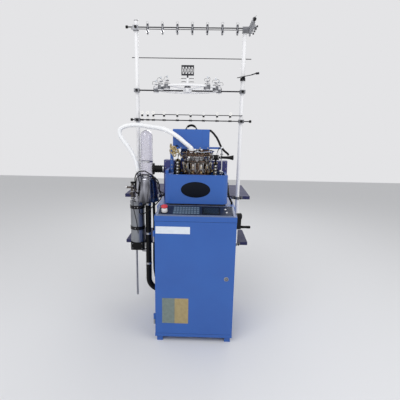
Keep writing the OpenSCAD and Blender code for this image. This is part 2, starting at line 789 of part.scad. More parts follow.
// Housing behind the head
module rear_housing() {
    w1 = -262;
    w2 = 234;
    d = rear_back - rear_front;
    color("darkslateblue") translate([(w1 + w2) / 2, rear_front, 0]) difference() {
        translate([0, 0, deck_z]) linear_extrude(rear_h) round_rect(w2 - w1, d, 8);
        translate([0, 3, deck_z - 1]) linear_extrude(rear_h - 3) round_rect(w2 - w1 - 6, d - 6, 5);
    }
}

// Cast frame that carries the knitting head and the casing
bed_inset = 12;
module bed_frame() {
    color("slategray") difference() {
        union() {
            translate([0, 0, deck_z]) linear_extrude(13) casing_shape(bed_inset);
            translate([0, 0, bed_top - bed_t]) linear_extrude(bed_t) casing_shape(bed_inset);
            for (x = [casing_mid - casing_w / 2 + 52, casing_mid + casing_w / 2 - 52])
                for (y = [casing_front + 44, casing_back_y - 44])
                    bar_z(18, x, y, deck_z + 12, bed_top - bed_t + 1);
            bar_z(56, 0, head_y, deck_z + 12, bed_top - bed_t + 1);
            // Lugs that reach the casing's walls
            for (x = [-110, 104])
                block([x - 16, casing_front + casing_t + seat_gap, bed_top - bed_t],
                      [x + 16, casing_back_y - casing_t - seat_gap, bed_top - 4]);
            block([casing_mid - casing_w / 2 + casing_t + seat_gap, 0, bed_top - bed_t],
                  [casing_mid + casing_w / 2 - casing_t - seat_gap, 30, bed_top - 4]);
        }
        bar_z(vertical_r + run_gap, 0, head_y, deck_z - 1, bed_top + 1);
    }
}

// Hollow shaft with the crown gear at its lower end
module cylinder_shaft() {
    color("silver") difference() {
        union() {
            bar_z(vertical_r, 0, head_y, crown_z - 6, cyl_z + 12);
            bar_z(gear_r + 9, 0, head_y, crown_z, crown_z + 12);
            bar_z(vertical_r + 7, 0, head_y, crown_z + 10, deck_z - sheet - 1);
            bar_z(cyl_r - cyl_wall + 4, 0, head_y, bed_top + seat_gap, cyl_z);
            // Crown teeth
            for (k = [0 : gear_teeth - 1])
                translate([0, head_y, crown_z - tooth_h + 1]) rotate((k + 0.5) * 360 / gear_teeth)
                    translate([gear_r - 8, -2.2, 0]) cube([16, 4.4, tooth_h]);
        }
        bar_z(vertical_in, 0, head_y, crown_z - 10, cyl_z + 20);
    }
}

// Needle cylinder with a slot and a needle's stem for each needle
module needle_cylinder() color("lightgray") {
    translate([0, head_y, cyl_z]) linear_extrude(cyl_h) difference() {
        circle(r = cyl_r, $fn = 96);
        circle(r = cyl_r - cyl_wall);
        for (k = [0 : needles - 1])
            rotate(k * 360 / needles) translate([cyl_r - slot_deep, -slot_w / 2]) square([slot_deep + 2, slot_w]);
    }
    translate([0, head_y, cyl_z]) linear_extrude(12) difference() {
        circle(r = cyl_r - cyl_wall + 1);
        circle(r = vertical_r + run_gap);
    }
}

// Cam ring with its radial selector blocks
module cam_ring() color("peru") difference() {
    union() {
        bar_z(cam_r, 0, head_y, bed_top, bed_top + cam_base);
        bar_z(cyl_r + 14, 0, head_y, bed_top, block_top);
        for (k = [0 : blocks - 1])
            translate([0, head_y, bed_top + cam_base - 1]) rotate((k + 0.5) * 360 / blocks) {
                translate([cyl_r + 10, -11, 0]) cube([cam_r - cyl_r - 14, 22, block_h + 1]);
                translate([cyl_r + 10, -8, 0]) cube([cam_r - cyl_r - 4, 16, 26]);
            }
    }
    bar_z(cyl_r + 3, 0, head_y, bed_top - 1, block_top + 1);
}

// Valve banks beside the cam ring, which set its selectors, with their stacked valves
module valve_bank(s, x1, x2, rise, valves) {
    difference() {
        union() {
            block([x1, head_y - 40, bed_top], [x2, head_y + 40, bed_top + bank_h]);
            block([x1 + 2, head_y - 30, bed_top + bank_h - 1], [x2 - 2, head_y + 24, bed_top + rise]);
            block([s > 0 ? 112 : x2 - 1, head_y - 12, bed_top], [s > 0 ? x1 + 1 : -112, head_y + 12, bed_top + 20]);
        }
        for (k = [0 : 3])
            block([s > 0 ? x2 - 8 : x1 - 1, head_y - 32 + k * 18, bed_top + 24],
                  [s > 0 ? x2 + 1 : x1 + 8, head_y - 22 + k * 18, bed_top + 58]);
    }
    for (k = [0 : valves - 1])
        block([x1 + 4, head_y - (k > 1 ? 48 : 58), bed_top + 14 + k * 22],
              [x2 - 4, head_y - (k > 1 ? 29 : 39), bed_top + 30 + k * 22]);
}
module valve_banks() color("dimgray") {
    valve_bank(-1, -166, -122, column_h, 5);
    valve_bank(1, 122, 150, right_bank_h, 4);
}

// Sinker ring with radial slots, resting on the selector blocks
module sinker_ring() color("dimgray") difference() {
    bar_z(cam_r - 16, 0, head_y, block_top, block_top + sinker_t);
    bar_z(cyl_r + 1.5, 0, head_y, block_top - 1, block_top + sinker_t + 1);
    for (k = [0 : 29])
        translate([0, head_y, block_top + sinker_t - 4]) rotate(k * 12) translate([cyl_r, -1.2, 0]) cube([26, 2.4, 5]);
}

// Dial with radial tricks, on its shaft
module dial() color("silver") {
    difference() {
        bar_z(dial_r, 0, head_y, dial_z, dial_z + dial_t);
        for (k = [0 : 29])
            translate([0, head_y, dial_z + dial_t - 3]) rotate(k * 12) translate([dial_r - 14, -1, 0]) cube([16, 2, 4]);
    }
    bar_z(dial_shaft_r, 0, head_y, dial_z + dial_t - 1, arm_z + arm_t - 2);
    bar_z(dial_shaft_r + 5, 0, head_y, dial_z + dial_t - 1, cap_z - 1);
}

// Dial cap with its small actuators, its stand-offs and the nozzle of the suction hose
module dial_cap() color("sienna") difference() {
    turn = atan2(nozzle[1] - head_y, nozzle[0]);
    union() {
        bar_z(cap_r, 0, head_y, cap_z, cap_z + cap_t);
        bar_z(26, 0, head_y, cap_z, cap_z + cap_t + 12);
        bar_z(16, nozzle[0], nozzle[1], cap_z + cap_t - 1, nozzle_top);
        for (k = [1 : 9])
            translate([0, head_y, cap_z + cap_t - 1]) rotate(turn + k * 36) {
                translate([54, -9, 0]) cube([26, 18, actuator_h * (k % 2 == 0 ? 1 : 0.6)]);
                translate([76, 0, 9]) rotate([0, 90, 0]) cylinder(r = 6, h = 24);
            }
        for (a = [0, 90, 180])
            translate([0, head_y, 0]) rotate(a) bar_z(6, 42, 0, cap_z + cap_t - 1, arm_z);
    }
    bar_z(dial_shaft_r + run_gap, 0, head_y, cap_z - 1, cap_z + cap_t + 13);
    bar_z(13, nozzle[0], nozzle[1], cap_z + 2, nozzle_top + 1);
}

// Bracket plate above the dial, its columns on the rear housing and its left post
module dial_bracket() {
    color("royalblue") difference() {
        union() {
            block([-180, box_front, arm_z], [92, rear_front + 50, box_z]);
            block([post_x1, post_y1, arm_z], [post_x2, post_y2, box_z]);
            block([90, rod_y - 9, arm_z], [rod_x + 10, rod_y + 9, box_z]);
            block([finger_x - 12, finger_y - 26, arm_z], [finger_x + 12, head_y, box_z]);
            for (x = [-130, 40])
                block([x, rear_front + 6, deck_z + rear_h], [x + 50, rear_front + 46, arm_z + 1]);
            block([post_x1, post_y1, bed_top], [post_x2, post_y2, arm_z + 1]);
        }
        bar_z(dial_shaft_r + run_gap, 0, head_y, arm_z - 1, box_z + 1);
    }
}

// Brass block that carries the yarn fingers on one pin
module finger_block() color("goldenrod") {
    y1 = finger_y - 24;
    y2 = finger_y + 24;
    block([finger_x - 9, y1, arm_z - 5], [finger_x + 9, y2, arm_z]);
    for (y = [y1, y2 - 4])
        translate([finger_x, y + 4, 0]) rotate([90, 0, 0]) linear_extrude(4) difference() {
            union() {
                translate([-9, finger_z]) square([18, arm_z - finger_z]);
                translate([0, finger_z]) circle(r = 9);
            }
            translate([0, finger_z]) circle(r = 3);
        }
    bar_y(3, finger_x, y1 - 2, y2 + 2, finger_z);
    // Lobed cheek in front of the fingers, with its adjusting holes
    translate([finger_x, y1 + eps, finger_z]) rotate([90, 0, 0]) linear_extrude(5) difference() {
        union() {
            circle(r = 13);
            translate([-30, 2]) circle(r = 21);
            translate([-14, -26]) circle(r = 15);
            translate([-30, -24]) square([30, 30]);
            translate([-46, 14]) square([34, 24]);
        }
        translate([-34, 4]) circle(r = 8);
        translate([-14, -28]) circle(r = 5);
        translate([-38, 28]) circle(r = 4);
        translate([-20, 28]) circle(r = 4);
    }
}

// One yarn finger: a bell crank with a bent tip and a knob
module finger_limb(a, b, w) {
    d = b - a;
    translate(a) rotate(atan2(d[1], d[0])) translate([0, -w / 2]) square([norm(d), w]);
    translate(b) circle(d = w + 1);
}
module yarn_finger(k) translate([finger_x, finger_y + (k - 2) * finger_pitch + finger_t / 2, finger_z])
    rotate([90, 0, 0]) linear_extrude(finger_t) difference() {
        union() {
            circle(r = 7.5);
            finger_limb([0, 0], [24, -22], 8);
            finger_limb([24, -22], [34, -44], 6);
            finger_limb([0, 0], [-26, -2 + 4 * k], 8);
            finger_limb([-26, -2 + 4 * k], [-44, 22 + 8 * k], 6);
            translate([-44, 22 + 8 * k]) circle(r = 6);
        }
        circle(r = 3 + run_gap);
    }
module yarn_finger_1() color("gold") yarn_finger(1);
module yarn_finger_2() color("gold") yarn_finger(2);
module yarn_finger_3() color("gold") yarn_finger(3);

// Black nozzle with a flared mouth, on its stem
horn_z = block_top + 44;
horn_drum = 19;
horn_mouth = 18;
module air_horn() color("black") {
    translate([112, head_y, horn_z]) rotate([0, 90, 0]) rotate_extrude() polygon([
        [0, 0], [horn_drum - 2, 0], [horn_drum, 2], [horn_drum, 46], [horn_drum - 2, 48], [8, 50], [10, 110], [12, 126],
        [horn_mouth - 1, 146], [horn_mouth, 154], [horn_mouth - 5, 154], [8, 132], [0, 128]]);
    bar_z(7, 136, head_y, bed_top + right_bank_h, horn_z - 10);
}

// Chrome rod with its eye, between the bed and the bracket
module guide_rod() color("gainsboro") {
    bar_z(5.5, rod_x, rod_y, bed_top, arm_z);
    translate([rod_x, rod_y, bed_top + 34]) rotate([90, 0, 0]) rotate_extrude() translate([11, 0]) circle(r = 3);
}

// Electronics box on the bracket plate
module top_box() {
    color("royalblue") translate([box_mid, box_front, box_z]) difference() {
        union() {
            linear_extrude(box_h) round_rect(box_w, box_d, 5);
            translate([box_w / 2 - 50, -2, 2]) linear_extrude(box_h - 4) square([46, 4]);
        }
        translate([0, sheet, sheet]) linear_extrude(box_h - 2 * sheet)
            round_rect(box_w - 2 * sheet, box_d - 2 * sheet, 3);
    }
}

// Arched carrying handle
module top_handle() {
    mid = box_mid - 2;
    span = 78;
    foot = 7;
    color("black") translate([mid, box_front + box_d / 2, box_z + box_h]) {
        rotate([90, 0, 0]) translate([0, 0, -6]) linear_extrude(12) difference() {
            intersection() {
                translate([0, -span / 2 + handle_h]) scale([1, 1]) circle(r = span / 2 + 6, $fn = 64);
                translate([-span, 0]) square([2 * span, 2 * span]);
            }
            translate([0, -span / 2 + handle_h - 7]) circle(r = span / 2 + 2, $fn = 64);
        }
        for (s = [-1, 1])
            translate([s * (span / 2 - 1) - foot, -8, 0]) cube([2 * foot, 16, 5]);
    }
}

// Spun collector, hollow, with its outlet and a tilted inlet spigot
spigot = [-39, -52, 158];
spigot_tilt = -14;
spigot_h = 70;
module collector_can() {
    color("gainsboro") translate([can_x, can_y, can_z]) difference() {
        rotate_extrude() difference() {
            polygon(concat(
                [[0, 0], [can_r, 0], [can_r, 10], [can_r - 4, 60], [neck_r + 6, can_h - 44]],
                [for (a = [0 : 15 : 75]) [neck_r - 20 + 22 * cos(a), can_h - 24 + 24 * sin(a)]],
                [[neck_r - 22, can_h], [0, can_h]]));
            polygon(concat(
                [[0, can_t], [can_r - can_t, can_t], [can_r - can_t, 10], [can_r - 4 - can_t, 60], [neck_r + 6 - can_t, can_h - 44]],
                [for (a = [0 : 15 : 75]) [neck_r - 20 + (22 - can_t) * cos(a), can_h - 24 + (24 - can_t) * sin(a)]],
                [[neck_r - 22, can_h - can_t], [0, can_h - can_t]]));
        }
        translate([0, 0, can_h - 10]) cylinder(r = clear_r - clear_t, h = 20);
        translate([pipe_x - can_x, 0, -1]) cylinder(r = pipe_r - 3, h = can_t + 2);
        translate(spigot) rotate([0, spigot_tilt, 0]) cylinder(r = 15, h = spigot_h + 1);
    }
    // Inlet for the suction hose
    color("gainsboro") translate([can_x, can_y, can_z]) difference() {
        translate(spigot) rotate([0, spigot_tilt, 0]) cylinder(r = 18, h = spigot_h);
        translate(spigot) rotate([0, spigot_tilt, 0]) translate([0, 0, 6]) cylinder(r = 15, h = spigot_h);
        translate([0, 0, 60]) cylinder(r1 = can_r - 4 - can_t, r2 = neck_r + 6 - can_t, h = can_h - 104);
        translate([0, 0, can_h - 44]) cylinder(r = neck_r + 2, h = 26);
    }
}

// Clear tube with a domed top and a side port
module clear_tube() {
    body_h = clear_h - clear_r;
    color([0.85, 0.88, 0.92, 0.4]) translate([can_x, can_y, clear_z]) difference() {
        union() {
            cylinder(r = clear_r, h = body_h);
            translate([0, 0, body_h]) sphere(r = clear_r);
            cylinder(r = clear_r + 4, h = 6);
            translate([0, 0, 112]) cylinder(r = clear_r + 2, h = 8);
        }
        translate([0, 0, -1]) cylinder(r = clear_r - clear_t, h = body_h + 1);
        translate([0, 0, body_h]) sphere(r = clear_r - clear_t);
        translate([0, 0, port_z - clear_z]) rotate([0, 90, 0]) cylinder(r = side_hose_r - 4, h = clear_r + 5);
    }
}

// Ribbed hose with its flange, from the clear tube to the rear housing
module side_hose() {
    x1 = can_x + clear_r + 0.3;
    x2 = -262;
    ribs = 5;
    pitch = (x2 - x1 - 16) / ribs;
    color("black") translate([x1, can_y, port_z]) rotate([0, 90, 0]) difference() {
        union() {
            cylinder(r = clear_r - 3, h = 12);
            cylinder(r = side_hose_r - 3, h = x2 - x1);
            for (k = [0 : ribs - 1])
                translate([0, 0, 13 + k * pitch]) cylinder(r = side_hose_r, h = pitch * 0.6);
        }
        translate([0, 0, -1]) cylinder(r = side_hose_r - 6, h = x2 - x1 + 2);
    }
}

// Filter cylinder, closed and hollow
module filter_cylinder() color("darkgray") translate([filter_x, filter_y, filter_z]) difference() {
    union() {
        cylinder(r = filter_r, h = filter_h);
        cylinder(r = filter_r + 2, h = 8);
        translate([0, 0, filter_h - 8]) cylinder(r = filter_r + 2, h = 8);
    }
    translate([0, 0, 3]) cylinder(r = filter_r - 3, h = filter_h - 6);
}

// Two straps round the filter and the creel post, and the bracket under the collector
strap_h = 26;
strap_t = 3.5;
strap_zs = [filter_z + 104, filter_z + 278];
module strap_ring(r, z) translate([0, 0, z]) linear_extrude(strap_h) difference() {
    circle(r = r + strap_t);
    circle(r = r + run_gap);
}
module filter_straps() color("black") {
    for (z = strap_zs) {
        translate([filter_x, filter_y, 0]) strap_ring(filter_r, z);
        translate([left_x, post_y, 0]) strap_ring(post_r, z);
        block([left_x - 8, filter_y + filter_r + 1, z], [left_x + 8, post_y - post_r - 1, z + strap_h]);
    }
    difference() {
        block([filter_x - 20, can_y - 40, can_z - 6], [can_x + 30, can_y + 40, can_z]);
        bar_z(pipe_r + 1, pipe_x, can_y, can_z - 7, can_z + 1);
    }
    difference() {
        union() {
            block([left_x - 20, can_y + 39, can_z - 6], [left_x + 20, post_y, can_z]);
            bar_z(post_r + 8, left_x, post_y, can_z - 26, can_z);
        }
        bar_z(post_r + run_gap, left_x, post_y, can_z - 27, can_z + 1);
        bar_z(filter_r + 3, filter_x, filter_y, can_z - 30, can_z - 6);
    }
}

// Black valve box under the filter
module valve_box() color("black") {
    translate([filter_x, filter_y - 44, filter_z - valve_box_h]) linear_extrude(valve_box_h)
        round_rect(110, 88, 12);
}

// Drain pipe and elbow fitting
module drain_pipe() color("silver") {
    low = filter_z - valve_box_h;
    bar_z(drain_r, filter_x - 14, filter_y, low - 420, low);
    bar_z(drain_r + 4, filter_x - 14, filter_y, low - 14, low);
    bar_z(14, filter_x + 42, filter_y, low - 14, low);
    bar_x(14, filter_x + 42, pipe_x - pipe_r, filter_y, low - 14);
    translate([filter_x + 42, filter_y, low - 14]) sphere(r = 14);
}

// Suction pipe down from the collector, bent into the cabinet's side
module pipe_run(r, end) {
    bend = min(pipe_bend, pipe_low - 130);
    bar_z(r, pipe_x, can_y, pipe_low, can_z + end);
    translate([pipe_x + bend, can_y, pipe_low]) rotate([90, 180, 0]) rotate_extrude(angle = 90)
        translate([bend, 0]) circle(r = r);
    bar_x(r, pipe_x + bend, sheet - half_w + end, can_y, pipe_low - bend);
}
module suction_pipe() color("black") difference() {
    pipe_run(pipe_r, 0);
    pipe_run(pipe_r - 3, 1);
}

// Air valve beside the collector, on an arm from the creel post
valve_x = can_x - 98;
valve_y = can_y - 80;
module air_valve() color("dimgray") difference() {
    union() {
        block([valve_x - 24, valve_y - 10, can_z + 60], [left_x - post_r + 2, post_y, can_z + 74]);
        bar_z(15, valve_x, valve_y, can_z + 30, can_z + 138);
        bar_x(8, valve_x - 44, valve_x, valve_y, can_z + 118);
        bar_z(10, valve_x, valve_y, can_z + 137, can_z + 148);
        block([valve_x, valve_y - 14, can_z + 94], [valve_x + 30, valve_y + 18, can_z + 106]);
        bar_z(post_r + 6, left_x, post_y, can_z + 50, can_z + 84);
    }
    bar_z(post_r + run_gap, left_x, post_y, can_z + 40, can_z + 90);
    bar_z(3 + run_gap, valve_x, valve_y, can_z + 130, can_z + 150);
}
module valve_knob() color("black") translate([valve_x, valve_y, can_z + 148.5]) difference() {
    union() {
        for (k = [0 : 5])
            rotate(k * 60) translate([11, 0, 0]) cylinder(r = 5, h = 14);
        cylinder(r = 13, h = 14);
        translate([0, 0, -16]) cylinder(r = 3, h = 17);
    }
    translate([0, 0, 12]) cylinder(r = 7, h = 3);
}

// Translucent suction hose from the dial to the collector
module white_hose() color("white") sweep(white_route, 16, 12);

// Black cables, the grey return hose and the head's conduit
module black_cables() color("black") {
    sweep(loop_route, 4.5);
    sweep(second_route, 4);
    sweep(lead_route, 4);
    sweep(grey_route, 11, 10);
    sweep(conduit_route, 8, 10);
    sweep(side_cable_route, 8, 10);
}

// Creel posts
module post(x, top) difference() {
    bar_z(post_r, x, post_y, post_foot, top);
    bar_z(post_r - post_wall, x, post_y, post_foot - 1, top + 1);
}
module creel_posts() color("gainsboro") {
    post(left_x, left_top);
    post(right_x, right_top);
}

// Saddle clamps on the shelf rims and rod clamps on the posts
module saddle(x, z) difference() {
    union() {
        bar_z(post_r + 3, x, post_y, z - 11, z + 11);
        block([x - 44, shelf_front - 4, z - 11], [x + 44, shelf_front, z + 11]);
        for (s = [-1, 1]) bar_y(6, x + s * 35, shelf_front - 10, shelf_front, z);
    }
    bar_z(post_r + run_gap, x, post_y, z - 12, z + 12);
    block([x - 50, shelf_front, z - 12], [x + 50, shelf_front + 30, z + 12]);
}
module rod_clamp(x, z, r) difference() {
    block([x - post_r - 6, rod_front - r - 6, z - 13], [x + post_r + 6, post_y + 6, z + 13]);
    bar_z(post_r + run_gap, x, post_y, z - 14, z + 14);
    bar_x(r + run_gap, x - 40, x + 40, rod_front, z);
}
module post_clamps() color("dimgray") {
    for (x = [left_x, right_x])
        for (z = [shelf_z - rim_h / 2, low_shelf_z - rim_h / 2])
            saddle(x, z);
    for (z = [ring_z, rack_z])
        for (x = [left_x, right_x])
            rod_clamp(x, z, z == ring_z ? rod_r + 1 : rod_r);
    difference() {
        union() {
            rod_clamp(left_x, top_z, rod_r);
            difference() {
                block([left_x - post_r - 6, rod_front - rod_r - 6, top_z - 21], [left_x + post_r + 6, post_y + 6, top_z - 12]);
                bar_z(post_r + run_gap, left_x, post_y, top_z - 30, top_z);
            }
        }
        bar_x(thin_rod_r + run_gap, left_x - 40, left_x + 40, rod_front, top_z - thin_rod_drop);
    }
    // Side arm clamp at the right post
    difference() {
        block([right_x - post_r - 6, rod_front - rod_r - 6, side_rod_z - 10],
              [side_rod_x + rod_r + 6, post_y + 6, top_z + 9]);
        bar_z(post_r + run_gap, right_x, post_y, side_rod_z - 20, top_z + 20);
        bar_x(rod_r + run_gap, right_x - 60, side_rod_x + 20, rod_front, top_z);
        bar_x(thin_rod_r + run_gap, right_x - 60, right_x + 20, rod_front, top_z - thin_rod_drop);
        bar_y(rod_r + run_gap, side_rod_x, post_y - 200, post_y + 7, side_rod_z);
    }
}

// Sheet steel shelves with folded rims and their wall brackets
module shelf(z, deep) {
    x1 = left_x - shelf_left;
    x2 = right_x + shelf_right;
    difference() {
        block([x1, shelf_front, z - rim_h], [x2, shelf_front + deep, z]);
        block([x1 + sheet, shelf_front + sheet, z - rim_h - 1], [x2 - sheet, shelf_front + deep - sheet, z - sheet]);
    }
    for (x = [-200, 180])
        translate([x, shelf_front + sheet, z]) rotate([90, 0, 90]) linear_extrude(20) polygon([
            [0, -sheet], [0, -140], [12, -140], [deep * 0.7, -rim_h], [deep * 0.7, -sheet]]);
    for (x = [-200, 180])
        block([x, back_y, z - 140], [x + 20, shelf_front + sheet + 1, z - rim_h - 4]);
}
module shelves() color("slategray") {
    shelf(shelf_z, shelf_deep);
    shelf(low_shelf_z, low_shelf_deep);
}

// Rods across the creel with their ball ends
module ball_x(x, z) translate([x, rod_front, z]) sphere(r = ball_r);
module creel_rods() color("silver") {
    bar_x(rod_r, left_x - 66, right_x + 72, rod_front, top_z);
    bar_x(thin_rod_r, left_x - 34, right_x + 14, rod_front, top_z - thin_rod_drop);
    bar_x(3, left_x - 40, right_x + 60, post_y + post_r + 3, cross_z);
    bar_x(rod_r + 1, left_x - 18, right_x + 18, rod_front, ring_z);
    bar_x(rod_r, left_x - 44, right_x + 70, rod_front, rack_z);
    bar_x(3, left_x + 122, right_x + 8, rod_front, rack_z + rack_gap);
    bar_y(rod_r, side_rod_x, post_y - 280, post_y + 4, side_rod_z);
    ball_x(left_x - 66, top_z);
    ball_x(right_x + 72, top_z);
    ball_x(left_x - 44, rack_z);
    ball_x(right_x + 70, rack_z);
    translate([side_rod_x, post_y - 280, side_rod_z]) sphere(r = ball_r);
}

// Yarn tensioner hanging from a rod: knob, discs and tapered body
module tensioner() {
    difference() {
        rotate_extrude() polygon([
            [0, -50], [5, -50], [6.5, -46], [8, -14], [8, -8], [11, -7], [11, -5], [7, -4], [7, 8], [9, 9], [9, 20],
            [6, 24], [0, 24]]);
        bar_x(rod_r + run_gap, -20, 20, 0, 0);
        bar_x(thin_rod_r + run_gap, -20, 20, 0, -thin_rod_drop);
    }
}
module tensioner_set() color("darkgray") {
    for (k = [0 : tensioners - 1])
        translate([tension_left + k * tension_pitch, rod_front, top_z]) tensioner();
    for (k = [0 : 3])
        translate([side_rod_x, post_y - 70 - k * 56, side_rod_z]) rotate(90) tensioner();
}

// Yarn ring on the crossbar with its hub, post and guides
module yarn_ring() {
    color("whitesmoke") translate([ring_mid, rod_front, ring_z]) difference() {
        union() {
            translate([0, 0, 6]) linear_extrude(12) difference() {
                circle(r = ring_r, $fn = 96);
                circle(r = ring_r - 22, $fn = 96);
            }
            translate([0, 0, 7]) linear_extrude(8) for (a = [0 : 60 : 120])
                rotate(a) square([2 * ring_r - 20, 14], center = true);
            translate([0, 0, -12]) cylinder(r = 34, h = 29);
            translate([0, 0, 16]) cylinder(r = 11, h = 78);
            for (a = [178, 220, 236, 308, 330, 2])
                rotate(a) translate([ring_r - 12, 0, 0]) {
                    translate([0, 0, -16]) cylinder(r = 20, h = 38);
                    translate([0, 0, 20]) cylinder(r = 3, h = 46);
                }
        }
        translate([-ring_r - 60, 0, 0]) rotate([0, 90, 0]) cylinder(r = rod_r + 1 + run_gap, h = 2 * ring_r + 120);
    }
}

// Four-cell guide frame on its stem
module guide_frame() {
    frame_w = 96;
    frame_h = 74;
    cells = 4;
    pitch = (frame_w - 6) / cells;
    translate([ring_mid, rod_front, ring_z + 94]) {
        translate([0, 0, 18]) bar_z(6, 0, 0, -18, 0);
        translate([0, 4, 18]) rotate([90, 0, 0]) linear_extrude(8) {
            difference() {
                translate([-frame_w / 2, 0]) square([frame_w, frame_h]);
                for (k = [0 : cells - 1])
                    translate([-frame_w / 2 + 3 + k * pitch + 2, 12]) square([pitch - 4, frame_h - 24]);
            }
            for (k = [0 : cells - 1])
                translate([-frame_w / 2 + 3 + k * pitch, 12]) {
                    link([2, 0], [pitch - 2, frame_h - 24], 3.5);
                    link([pitch - 2, 0], [2, frame_h - 24], 3.5);
                }
        }
    }
}

// Tilted plate on the right post, with its clamp and knob
module tilt_plate() {
    difference() {
        union() {
            bar_z(post_r + 5, right_x, post_y, 1896, 1916);
            translate([right_x + 10, post_y - 34, 1926]) rotate([8, -12, 0]) translate([-56, -36, -3]) cube([112, 60, 6]);
            block([right_x - 8, post_y - 40, 1898], [right_x + 12, post_y - post_r, 1924]);
        }
        bar_z(post_r + run_gap, right_x, post_y, 1880, 1960);
    }
    translate([right_x + 60, post_y - 40, 1936]) rotate([0, 72, 0]) cylinder(r = 4, h = 34);
    translate([right_x + 92, post_y - 40, 1946]) rotate([0, 84, 0]) cylinder(r = 8, h = 24);
}

// Fixed yarn guides: the frame over the ring and the plate at the right post
module creel_guides() color("darkgray") {
    guide_frame();
    tilt_plate();
}

// Ceramic yarn eyelets on their stems along the lower rack
module eyelet_set() color("white") for (x = eyelet_xs)
    translate([x, rod_front, rack_z]) difference() {
        union() {
            translate([0, 0, -9]) cylinder(r = 11, h = 18);
            cylinder(r = 4, h = rack_gap + 4);
            translate([0, 0, 18]) cylinder(r = 8, h = 5);
            translate([0, 0, rack_gap + 3]) rotate([90, 0, 0]) translate([0, 9, -5]) difference() {
                cylinder(r = 10, h = 10);
                translate([0, 0, -1]) cylinder(r = 5, h = 12);
            }
        }
        bar_x(rod_r + run_gap, -20, 20, 0, 0);
        if (x > left_x + 110)
            bar_x(3 + run_gap, -20, 20, 0, rack_gap);
    }

base_skids();
cabinet_body();
door_panel();
hinge_pins();
lock_barrel();
lock_cam();
console_housing();
control_panel();
start_button();
stop_button();
estop_collar();
estop_head();
crank_bearing();
main_shaft();
crank_arm();
crank_grip();
drive_motor();
motor_pulley();
drive_belt();
control_box();
suction_fan();
head_casing();
rear_housing();
bed_frame();
cylinder_shaft();
needle_cylinder();
cam_ring();
valve_banks();
sinker_ring();
dial();
dial_cap();
dial_bracket();
finger_block();
yarn_finger_1();
yarn_finger_2();
yarn_finger_3();
air_horn();
guide_rod();
top_box();
top_handle();
collector_can();
clear_tube();
side_hose();
filter_cylinder();
filter_straps();
valve_box();
drain_pipe();
suction_pipe();
air_valve();
valve_knob();
white_hose();
black_cables();
creel_posts();
post_clamps();
shelves();
creel_rods();
tensioner_set();
yarn_ring();
creel_guides();
eyelet_set();
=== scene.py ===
"""Dresses the sock knitting machine: its finishes, its fine pieces, the light and the camera.

Lengths are metres in the part's frame: X to the operator's right, Y away from the operator, Z up from
the floor.
"""

import logging
import math
from dataclasses import dataclass, field
from enum import Enum
from itertools import product
from typing import Iterable, Sequence

import bpy
from mathutils import Matrix, Vector


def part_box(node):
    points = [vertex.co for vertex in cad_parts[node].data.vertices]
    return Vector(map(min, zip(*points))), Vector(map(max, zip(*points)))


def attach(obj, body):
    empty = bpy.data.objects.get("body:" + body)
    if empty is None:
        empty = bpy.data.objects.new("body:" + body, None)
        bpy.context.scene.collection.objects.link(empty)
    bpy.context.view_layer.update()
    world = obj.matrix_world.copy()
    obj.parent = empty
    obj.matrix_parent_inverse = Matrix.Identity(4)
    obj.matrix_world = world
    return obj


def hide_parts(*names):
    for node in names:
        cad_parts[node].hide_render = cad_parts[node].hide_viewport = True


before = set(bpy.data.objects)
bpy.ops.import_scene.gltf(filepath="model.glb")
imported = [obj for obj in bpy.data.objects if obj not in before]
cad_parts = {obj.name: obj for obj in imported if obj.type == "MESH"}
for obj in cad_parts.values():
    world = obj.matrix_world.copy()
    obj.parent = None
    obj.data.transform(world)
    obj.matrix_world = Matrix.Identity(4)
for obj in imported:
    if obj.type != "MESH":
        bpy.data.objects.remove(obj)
logging.basicConfig(level=logging.INFO, format="%(levelname)s %(message)s")
log = logging.getLogger("knitting_machine")

Point = Sequence[float]
Outline = Sequence[tuple[float, float]]
Mesh = bpy.types.Object
Tree = bpy.types.NodeTree
Node = bpy.types.Node
Socket = bpy.types.NodeSocket


class Way(Enum):
    """The direction that a piece points or that a tool ran over it, as the operator sees it."""

    RIGHT = Vector((1.0, 0.0, 0.0))
    REAR = Vector((0.0, 1.0, 0.0))
    UP = Vector((0.0, 0.0, 1.0))
    LEFT = Vector((-1.0, 0.0, 0.0))
    FRONT = -Vector((0.0, 1.0, 0.0))
    DOWN = -Vector((0.0, 0.0, 1.0))


def linear(colour: str) -> tuple[float, float, float, float]:
    """Turns an sRGB hex colour into linear light.

    Args:
        colour: such as "#3a63b0".

    Returns:
        Red, green, blue and an alpha of one.
    """
    parts = [int(colour[i : i + 2], 16) / 255 for i in (1, 3, 5)]
    r, g, b = (c / 12.92 if c <= 0.04045 else ((c + 0.055) / 1.055) ** 2.4 for c in parts)
    return r, g, b, 1.0


def put(tree: Tree, kind: str, sockets: dict | None = None, **settings: object) -> Node:
    """Adds a node to a tree.

    Args:
        tree: the material's or the world's node tree.
        kind: Blender's name of the node type.
        sockets: an input's name or number with a value, or with the output that feeds it.
        settings: the node's own settings.

    Returns:
        The new node.
    """
    node = tree.nodes.new(kind)
    for name, value in settings.items():
        setattr(node, name, value)
    for name, value in (sockets or {}).items():
        if isinstance(value, Socket):
            tree.links.new(value, node.inputs[name])
        else:
            node.inputs[name].default_value = value
    return node


